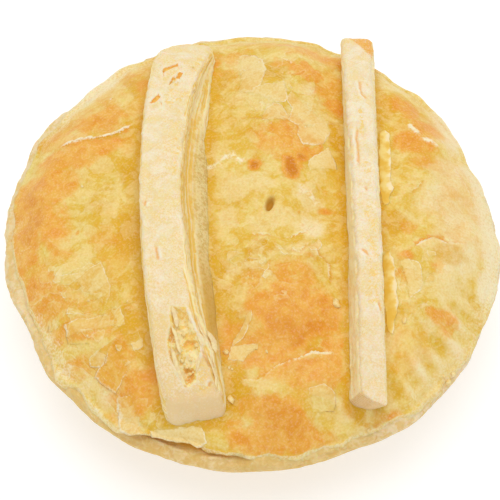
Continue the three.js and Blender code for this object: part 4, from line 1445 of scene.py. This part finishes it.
# The lid.
YELLOW = colour(228, 189, 70)
LEMON = colour(238, 213, 128)
GOLD = colour(220, 166, 22)
CREAM = colour(241, 216, 147)
ORANGE = colour(236, 157, 50)
APRICOT = colour(241, 181, 80)
BROWN = colour(214, 130, 18)
# The colour of painted shade in the vent and beside the left strip.
CREVICE_SHADE = colour(196, 140, 36)
ISLE_LIGHT = colour(242, 211, 138)
ISLE_DARK = colour(231, 185, 48)
PALE = colour(249, 235, 199)
# The strips, their torn skin, their peeled layers and the crumbs.
FLOUR = colour(247, 236, 212)
FLOUR_GRAIN = colour(251, 238, 218)
FLOURED = colour(239, 222, 180)
STRAW = colour(236, 204, 144)
PEACH = colour(240, 213, 162)
STRAWY = colour(241, 214, 142)
CRUMB = colour(243, 206, 112)
CRUMB_DARK = colour(242, 208, 128)
TOASTED = colour(238, 172, 74)
LAYER_LIGHT = colour(249, 230, 174)
LAYER_DARK = colour(237, 195, 92)
DOUGH_LIGHT = colour(234, 212, 152)
DOUGH_DARK = colour(214, 180, 104)
DOUGH_BAKED = colour(208, 160, 62)
END_FACE = colour(239, 210, 158)
CUT_LIGHT = colour(230, 194, 136)
CUT_DARK = colour(212, 168, 102)
WHITENED = colour(240, 226, 198)
PEEL_LIGHT = colour(246, 222, 140)
PEEL_DARK = colour(236, 192, 76)
# The case.
CASE_LIGHT = colour(241, 218, 168)
CASE_DARK = colour(234, 200, 130)
CASE_TAN_LIGHT = colour(236, 204, 132)
CASE_TAN_DARK = colour(226, 184, 100)
CASE_FLOUR = colour(250, 228, 198)
CASE_PITS = colour(228, 188, 110)
# Painted shade on the rim under the lid.
UNDER_LID_SHADE = colour(240, 182, 60)


def lid_finish(name, softness):
    f = Finish(name)
    labels = ("dry", "baked", "bare", "pale", "edge", "torn", "flake", "flaky", "painted_shade")
    dry, baked, bare, pale, edge, torn, flake, flaky, painted_shade = (f.value(label) for label in labels)
    cloud = f.stir(9, 3, 0.5, 0.6)
    spots = f.stir(2.8, 3, 0.5, 0.8)
    grain = f.stir(0.5, 2, 0.6)
    yellow = f.band(dry * 0.8 + baked, 0.9, 0.1) * 0.75 + 0.25
    isles = (f.band(f.mottle(3.6, 4, 0.55, 1.0), 0.4, 0.6) - 0.5) * yellow

    # Thin sheets over one another, as terraces of two noises.
    broad = f.mottle(9, 3, 0.5, 0.4) * 8
    broad_step = f.fraction(broad)
    narrow_step = f.fraction(f.mottle(4, 2, 0.5, 0.4) * 4)
    steps = (broad_step * 0.7 + narrow_step * 0.3 - 0.5) * (flaky * 0.6 + 0.4)
    shift = (cloud * 0.35 + spots * 0.2 - steps * 0.3) * (yellow * 0.45 + 0.55) + isles * 0.12
    flake = flake * 0.3

    # The cracks: the skin below and above the torn edge, a painted shadow just below the lip, the gap and
    # the pale lip.
    edge = edge + grain * 0.4
    below = torn * f.band(edge, -3.0, 0.0) * f.band(edge, 0.1, 0.0)
    above = torn * f.band(edge, -0.05, 0.1) * f.band(edge, 5.0, 0.0)
    painted_lip_shadow = torn * f.band(edge, -0.6, -0.1) * f.band(edge, 0.05, -0.1)
    gap = f.band(torn, 0.7, 1.0) * f.band(edge + spots * 1.8, -1.3, -0.7) * f.band(edge, 0.0, -0.15)
    lip = torn * f.band(edge, -0.1, 0.05) * f.band(edge, 0.9, 0.2) * f.band(spots, -0.5, 0.2)

    light = f.band(cloud * 0.8 + spots * 0.4 - steps * 0.6 + isles * 0.2, -0.5, 0.5)
    glow = f.band(spots * 0.6 + cloud * 0.3 - steps * 0.5 + isles * 0.3, -0.4, 0.4)
    browned = baked - shift * 0.7
    wisps = f.band(broad_step, 0.2, 0.0) * f.band(cloud, -0.2, 0.3) * (flaky * 0.8 + 0.2)
    skin = f.coats(
        f.blend(light, YELLOW, LEMON),
        (f.band(dry + above * 0.6 + shift + flake, 0.2, 0.9) * 0.9, CREAM),
        (f.band(dry + shift * 0.7, 0.8, 1.3) * 0.5, PALE),
        (f.band(bare + below * 0.5 - shift * 0.8 - flake, 0.15, 1.0), GOLD),
        (f.band(isles, 0.0, 0.5) * 0.4, ISLE_LIGHT),
        (f.band(isles, 0.0, -0.5) * 0.4, ISLE_DARK),
        (f.band(browned, 0.0, 0.9) * 0.92, f.blend(glow, ORANGE, APRICOT)),
        (f.band(f.mottle(2.6, 2, 0.5), 0.66, 0.74) * 0.2, ORANGE),
        (f.band(browned, 0.8, 1.6), BROWN),
        # Painted shadow along the foot of each torn lip.
        (painted_lip_shadow * 0.6, ORANGE),
        (gap * 0.8, f.blend(glow, GOLD, ORANGE)),
        (f.band(pale + lip * 0.8 + grain * 0.3, 0.1, 0.9), PALE),
        (wisps * 0.3, PALE),
        (f.band(grain, 0.0, 0.5) * 0.18, PALE),
        (f.band(grain, 0.0, -0.5) * 0.2, GOLD),
        # Painted shade in the vent and on the left of the left strip.
        (painted_shade, CREVICE_SHADE),
    )
    f.set(Base_Color=skin, Roughness=f.band(spots, -0.4, 0.5) * 0.2 + 0.4, Specular_IOR_Level=0.22)
    relief = broad * 0.5 - steps * 0.4 + grain * 0.08 + f.stir(3, 3, 0.55, 0.5) * 1.2
    f.set(Normal=f.bump(relief + torn * f.band(edge, -0.1, 0.1) * 0.5, 0.1))
    f.soften(softness)
    return f.material


def strip_finish():
    f = Finish("floured strip pastry")
    top, end, along, white = (f.value(label) for label in ("top", "end", "along", "white"))
    level, split, stands, doughy = (f.value(label) for label in ("level", "split", "stands", "doughy"))
    cloud = f.stir(8, 3, 0.5, 0.6)
    spots = f.stir(2, 3, 0.6, 0.8)
    grain = f.stir(0.5, 2, 0.6)
    flecks = f.stir(0.38, 3, 0.7, 0.3)

    # The floury skin.
    pits = f.band(f.stir(2.2, 4, 0.7, 0.6) + cloud * 0.3, 0.05, 0.3)
    pores = f.band(f.stir(1.3, 3, 0.6, 0.6) + cloud * 0.4, 0.12, 0.3) * white
    blotches = f.stir(6, 4, 0.55, 1) + spots * 0.25
    golden = f.band(along + cloud * 0.15, 0.35, 0.1) * (white * -0.5 + 0.8)
    grains = f.band(f.mottle(0.6, 2, 0.5) + cloud * 0.15 + spots * 0.1, 0.56, 0.7)
    skin = f.coats(
        f.blend(f.band(cloud + spots * 0.3, -0.5, 0.5), FLOURED, PEACH),
        (f.band(f.stir(5, 3, 0.5, 1) + grain * 0.3, 0.05, 0.45) * 0.5, STRAW),
        (white * 0.5, WHITENED),
        (pits * (white * 0.15 + 0.35), STRAWY),
        (pores * 0.35, STRAW),
        (f.band(blotches, 0.02, 0.22) * 0.5, STRAWY),
        (f.band(blotches, -0.02, -0.22) * 0.45, FLOUR),
        (golden, STRAW),
        (f.value("chipped") * f.band(f.stir(1.2, 3, 0.6, 0.5), -0.05, 0.15) * 0.85, CRUMB),
        (f.band(f.value("corner") + spots * 0.3, 0.2, 0.8), TOASTED),
        (f.band(flecks + spots * 0.4 + cloud * 0.3, 0.0, 0.35) * 0.5, FLOUR),
        (f.band(flecks + spots * 0.3, 0.0, -0.35) * 0.5, STRAWY),
        (grains * 0.3, FLOUR_GRAIN),
    )

    # The cut ends and the layered sides, with raw dough at the foot.
    middle = f.zigzag(level + spots * 0.15, 0.5)
    face = f.blend(white, END_FACE, f.blend(f.band(middle, 0.1, 0.4), CUT_LIGHT, CUT_DARK))
    skin = f.blend(end * (f.band(flecks, -0.4, 0.4) * -0.3 + 0.85), skin, face)
    dough = f.blend(f.band(grain * 0.6 + spots * 0.6, -0.4, 0.3), DOUGH_DARK, DOUGH_LIGHT)
    side = f.coats(
        f.blend(f.band(stands + spots * 0.8, -0.6, 0.4), LAYER_DARK, LAYER_LIGHT),
        (split * f.band(middle, 0.22, 0.42) * 0.8, LAYER_DARK),
        (split * f.band(middle, 0.22, 0.05) * 0.5, FLOUR),
        (white * 0.7, LAYER_LIGHT),
        (f.band(flecks + spots * 0.5, 0.0, 0.3) * (white * 0.45 + 0.05), FLOUR),
        (f.band(f.stir(2.6, 3, 0.6, 0.8), 0.1, 0.3) * white * 0.35, LAYER_DARK),
        (doughy * 1.3, f.blend(f.band(along, 0.42, 0.24) * 0.75, dough, DOUGH_BAKED)),
    )

    # The holes, the burst blister and the tears.
    hole = f.value("hole") + grain * 0.2
    pocket = f.value("pocket") + grain * 0.3
    lip = f.value("lip") + f.band(hole, -0.8, -0.2) * 0.5 + f.band(pocket, -0.7, -0.2) * 0.4
    hollow = f.value("hollow") * 0.75 - f.band(grain + spots, 0.0, 0.4) * 0.6
    crumb = f.blend(f.band(spots + grain * 0.6, -0.4, 0.3), CRUMB, LAYER_LIGHT)
    skin = f.coats(
        f.blend(f.band(top + end, 0.05, 0.45), side, skin),
        (lip * 0.8, FLOUR),
        (f.band(pocket, -0.05, 0.12), f.blend(hollow, crumb, TOASTED)),
        (f.band(hole, -0.05, 0.12), f.blend(f.band(hole + spots * 0.6, 0.0, 0.8), TOASTED, CRUMB)),
        (f.value("torn") * 0.7, TOASTED),
    )
    f.set(Base_Color=skin, Roughness=f.band(grain, -0.4, 0.5) * 0.2 + 0.7, Specular_IOR_Level=0.15)
    f.set(Normal=f.bump(grain * 0.5 + spots * 0.5, 0.08))
    f.soften(0.3)
    return f.material


def shred_finish():
    f = Finish("torn strip skin")
    spots = f.stir(1.4, 3, 0.6, 0.8)
    skin = f.blend(f.band(spots, -0.4, 0.4), PEACH, LAYER_LIGHT)
    skin = f.blend(f.band(f.value("out") + spots * 0.3, 0.6, 1.0) * 0.4, skin, LAYER_DARK)
    f.set(Base_Color=skin, Roughness=f.band(spots, -0.4, 0.4) * 0.2 + 0.65, Specular_IOR_Level=0.15)
    f.set(Normal=f.bump(f.stir(0.5, 2, 0.6), 0.1))
    return f.material


def peeled_finish():
    f = Finish("peeled strip layer")
    spots = f.stir(3, 3, 0.5)
    out = f.value("out")
    skin = f.blend(f.band(spots + out * 0.4, -0.2, 0.6), PEEL_DARK, PEEL_LIGHT)
    skin = f.blend(f.band(out + spots * 0.6, 0.7, 1.0) * 0.8, skin, PALE)
    f.set(Base_Color=skin, Roughness=f.band(spots, -0.4, 0.4) * 0.2 + 0.55, Specular_IOR_Level=0.2)
    f.set(Normal=f.bump(f.stir(0.6, 3, 0.65), 0.03))
    return f.material


def case_finish():
    f = Finish("pale case pastry")
    cloud = f.stir(4, 3, 0.6, 0.8)
    spots = f.stir(1.7, 4, 0.65, 0.8)
    grain = f.stir(0.55, 3, 0.65)
    front_tan = f.band(f.value("front_tan") + spots * 0.5, 0.2, 0.9)
    flour = f.band(f.value("relief") * 0.6 + spots * 0.6 + grain * 0.5, 0.05, 0.5)
    skin = f.coats(
        f.blend(f.band(cloud + spots * 0.6, -0.4, 0.4), CASE_DARK, CASE_LIGHT),
        # Darker and tanner towards the front.
        (front_tan * 0.7, f.blend(f.band(spots, -0.4, 0.4), CASE_TAN_DARK, CASE_TAN_LIGHT)),
        (flour * (front_tan * -0.25 + 0.5), CASE_FLOUR),
        (f.band(grain, -0.1, -0.5) * 0.15, CASE_PITS),
        # Painted shade under the lid's edge.
        (f.value("under_lid_shade") * 0.9, UNDER_LID_SHADE),
    )
    f.set(Base_Color=skin, Roughness=f.band(grain, -0.4, 0.5) * 0.2 + 0.7, Specular_IOR_Level=0.2)
    f.set(Normal=f.bump(grain * 0.4 + spots, 0.14))
    f.soften(0.3)
    return f.material


def crumb_finish():
    f = Finish("pastry crumb")
    spots = f.mottle(0.8, 3, 0.6)
    f.set(Base_Color=f.blend(f.band(spots, 0.35, 0.65), CRUMB_DARK, LAYER_LIGHT), Roughness=0.75)
    f.set(Normal=f.bump(f.mottle(0.4, 3, 0.6), 0.15), Specular_IOR_Level=0.2)
    return f.material


# The stage, in metres and watts.
WHITE = (1, 1, 1, 1)
FLOOR_GREY = (0.6, 0.6, 0.6, 1)
FLOOR_HALF = 1.5
FLOOR_GLOW = 0.5
SKY_STRENGTH = 0.7
KEY_PLACE = (0, 0.1, 1)
KEY_SIZE = 0.8
KEY_WATTS = 3.65


def make_floor():
    corners = [(x * FLOOR_HALF, y * FLOOR_HALF, 0) for x, y in ((-1, -1), (1, -1), (1, 1), (-1, 1))]
    mesh = bpy.data.meshes.new("floor")
    mesh.from_pydata(corners, [], [(0, 1, 2, 3)])
    floor = bpy.data.objects.new("floor", mesh)
    bpy.context.scene.collection.objects.link(floor)
    f = Finish("pale floor")
    f.set(Base_Color=FLOOR_GREY, Roughness=0.9, Specular_IOR_Level=0.1)
    f.set(Emission_Color=WHITE, Emission_Strength=FLOOR_GLOW)
    mesh.materials.append(f.material)


# The camera: its height above the horizon, its distance from the pie, and how far it aims below the rim.
CAMERA_ELEVATION = math.radians(60)
CAMERA_DISTANCE = 450
CAMERA_DROP = 3
FOCAL_PIXELS = 1944
IMAGE_PIXELS = 500


def make_camera():
    data = bpy.data.cameras.new("camera")
    data.sensor_width = 36
    data.lens = FOCAL_PIXELS / IMAGE_PIXELS * data.sensor_width
    camera = bpy.data.objects.new("camera", data)
    back = Vector((0, -math.cos(CAMERA_ELEVATION), math.sin(CAMERA_ELEVATION)))
    above = Vector((0, math.sin(CAMERA_ELEVATION), math.cos(CAMERA_ELEVATION)))
    aim = Vector((0, 0, RIM_TOP)) - CAMERA_DROP * above
    camera.location = (aim + CAMERA_DISTANCE * back) * MM
    camera.rotation_euler = (math.pi / 2 - CAMERA_ELEVATION, 0, 0)
    bpy.context.scene.collection.objects.link(camera)
    bpy.context.scene.camera = camera


def make_lamp():
    data = bpy.data.lights.new("key", "AREA")
    data.shape = "DISK"
    data.size = KEY_SIZE
    data.energy = KEY_WATTS
    lamp = bpy.data.objects.new("key", data)
    lamp.location = KEY_PLACE
    lamp.rotation_euler = (-Vector(KEY_PLACE)).to_track_quat("-Z", "Y").to_euler()
    bpy.context.scene.collection.objects.link(lamp)


def make_sky():
    world = bpy.data.worlds.new("studio")
    bpy.context.scene.world = world
    world.use_nodes = True
    sky = next(n for n in world.node_tree.nodes if n.type == "BACKGROUND")
    sky.inputs["Color"].default_value = WHITE
    sky.inputs["Strength"].default_value = SKY_STRENGTH
    bpy.context.scene.view_settings.view_transform = "Standard"


strip_pastry = strip_finish()
left_damage = {"tears": LEFT_TEARS, "chips": LEFT_CHIPS, "holes": LEFT_HOLES, "burst": True}
right_damage = {"tears": RIGHT_TEARS, "chips": RIGHT_CHIPS, "holes": [], "burst": False}
left_strip = make_strip("strip_left", LEFT_STRIP, strip_pastry, seed=200, layers=12, **left_damage)
right_strip = make_strip("strip_right", RIGHT_STRIP, strip_pastry, seed=300, layers=11, **right_damage)

pieces = [
    (make_case(case_finish()), "case_pastry", "pastry_case"),
    (make_lid(lid_finish("golden lid pastry", 0.3)), "lid_pastry", "pastry_lid"),
    (left_strip, "strip_pastry", "pastry_strip_left"),
    (right_strip, "strip_pastry", "pastry_strip_right"),
    (make_sheets(lid_finish("golden lid flake", 0)), "lid_pastry", None),
    (make_shreds(shred_finish()), "strip_pastry", None),
    (make_peeled(peeled_finish()), "strip_pastry", None),
    (make_crumbs(crumb_finish()), "strip_pastry", None),
]
for piece, slot, node in pieces:
    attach(piece, "root")
    if node:
        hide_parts(node)

make_floor()
make_sky()
make_lamp()
make_camera()
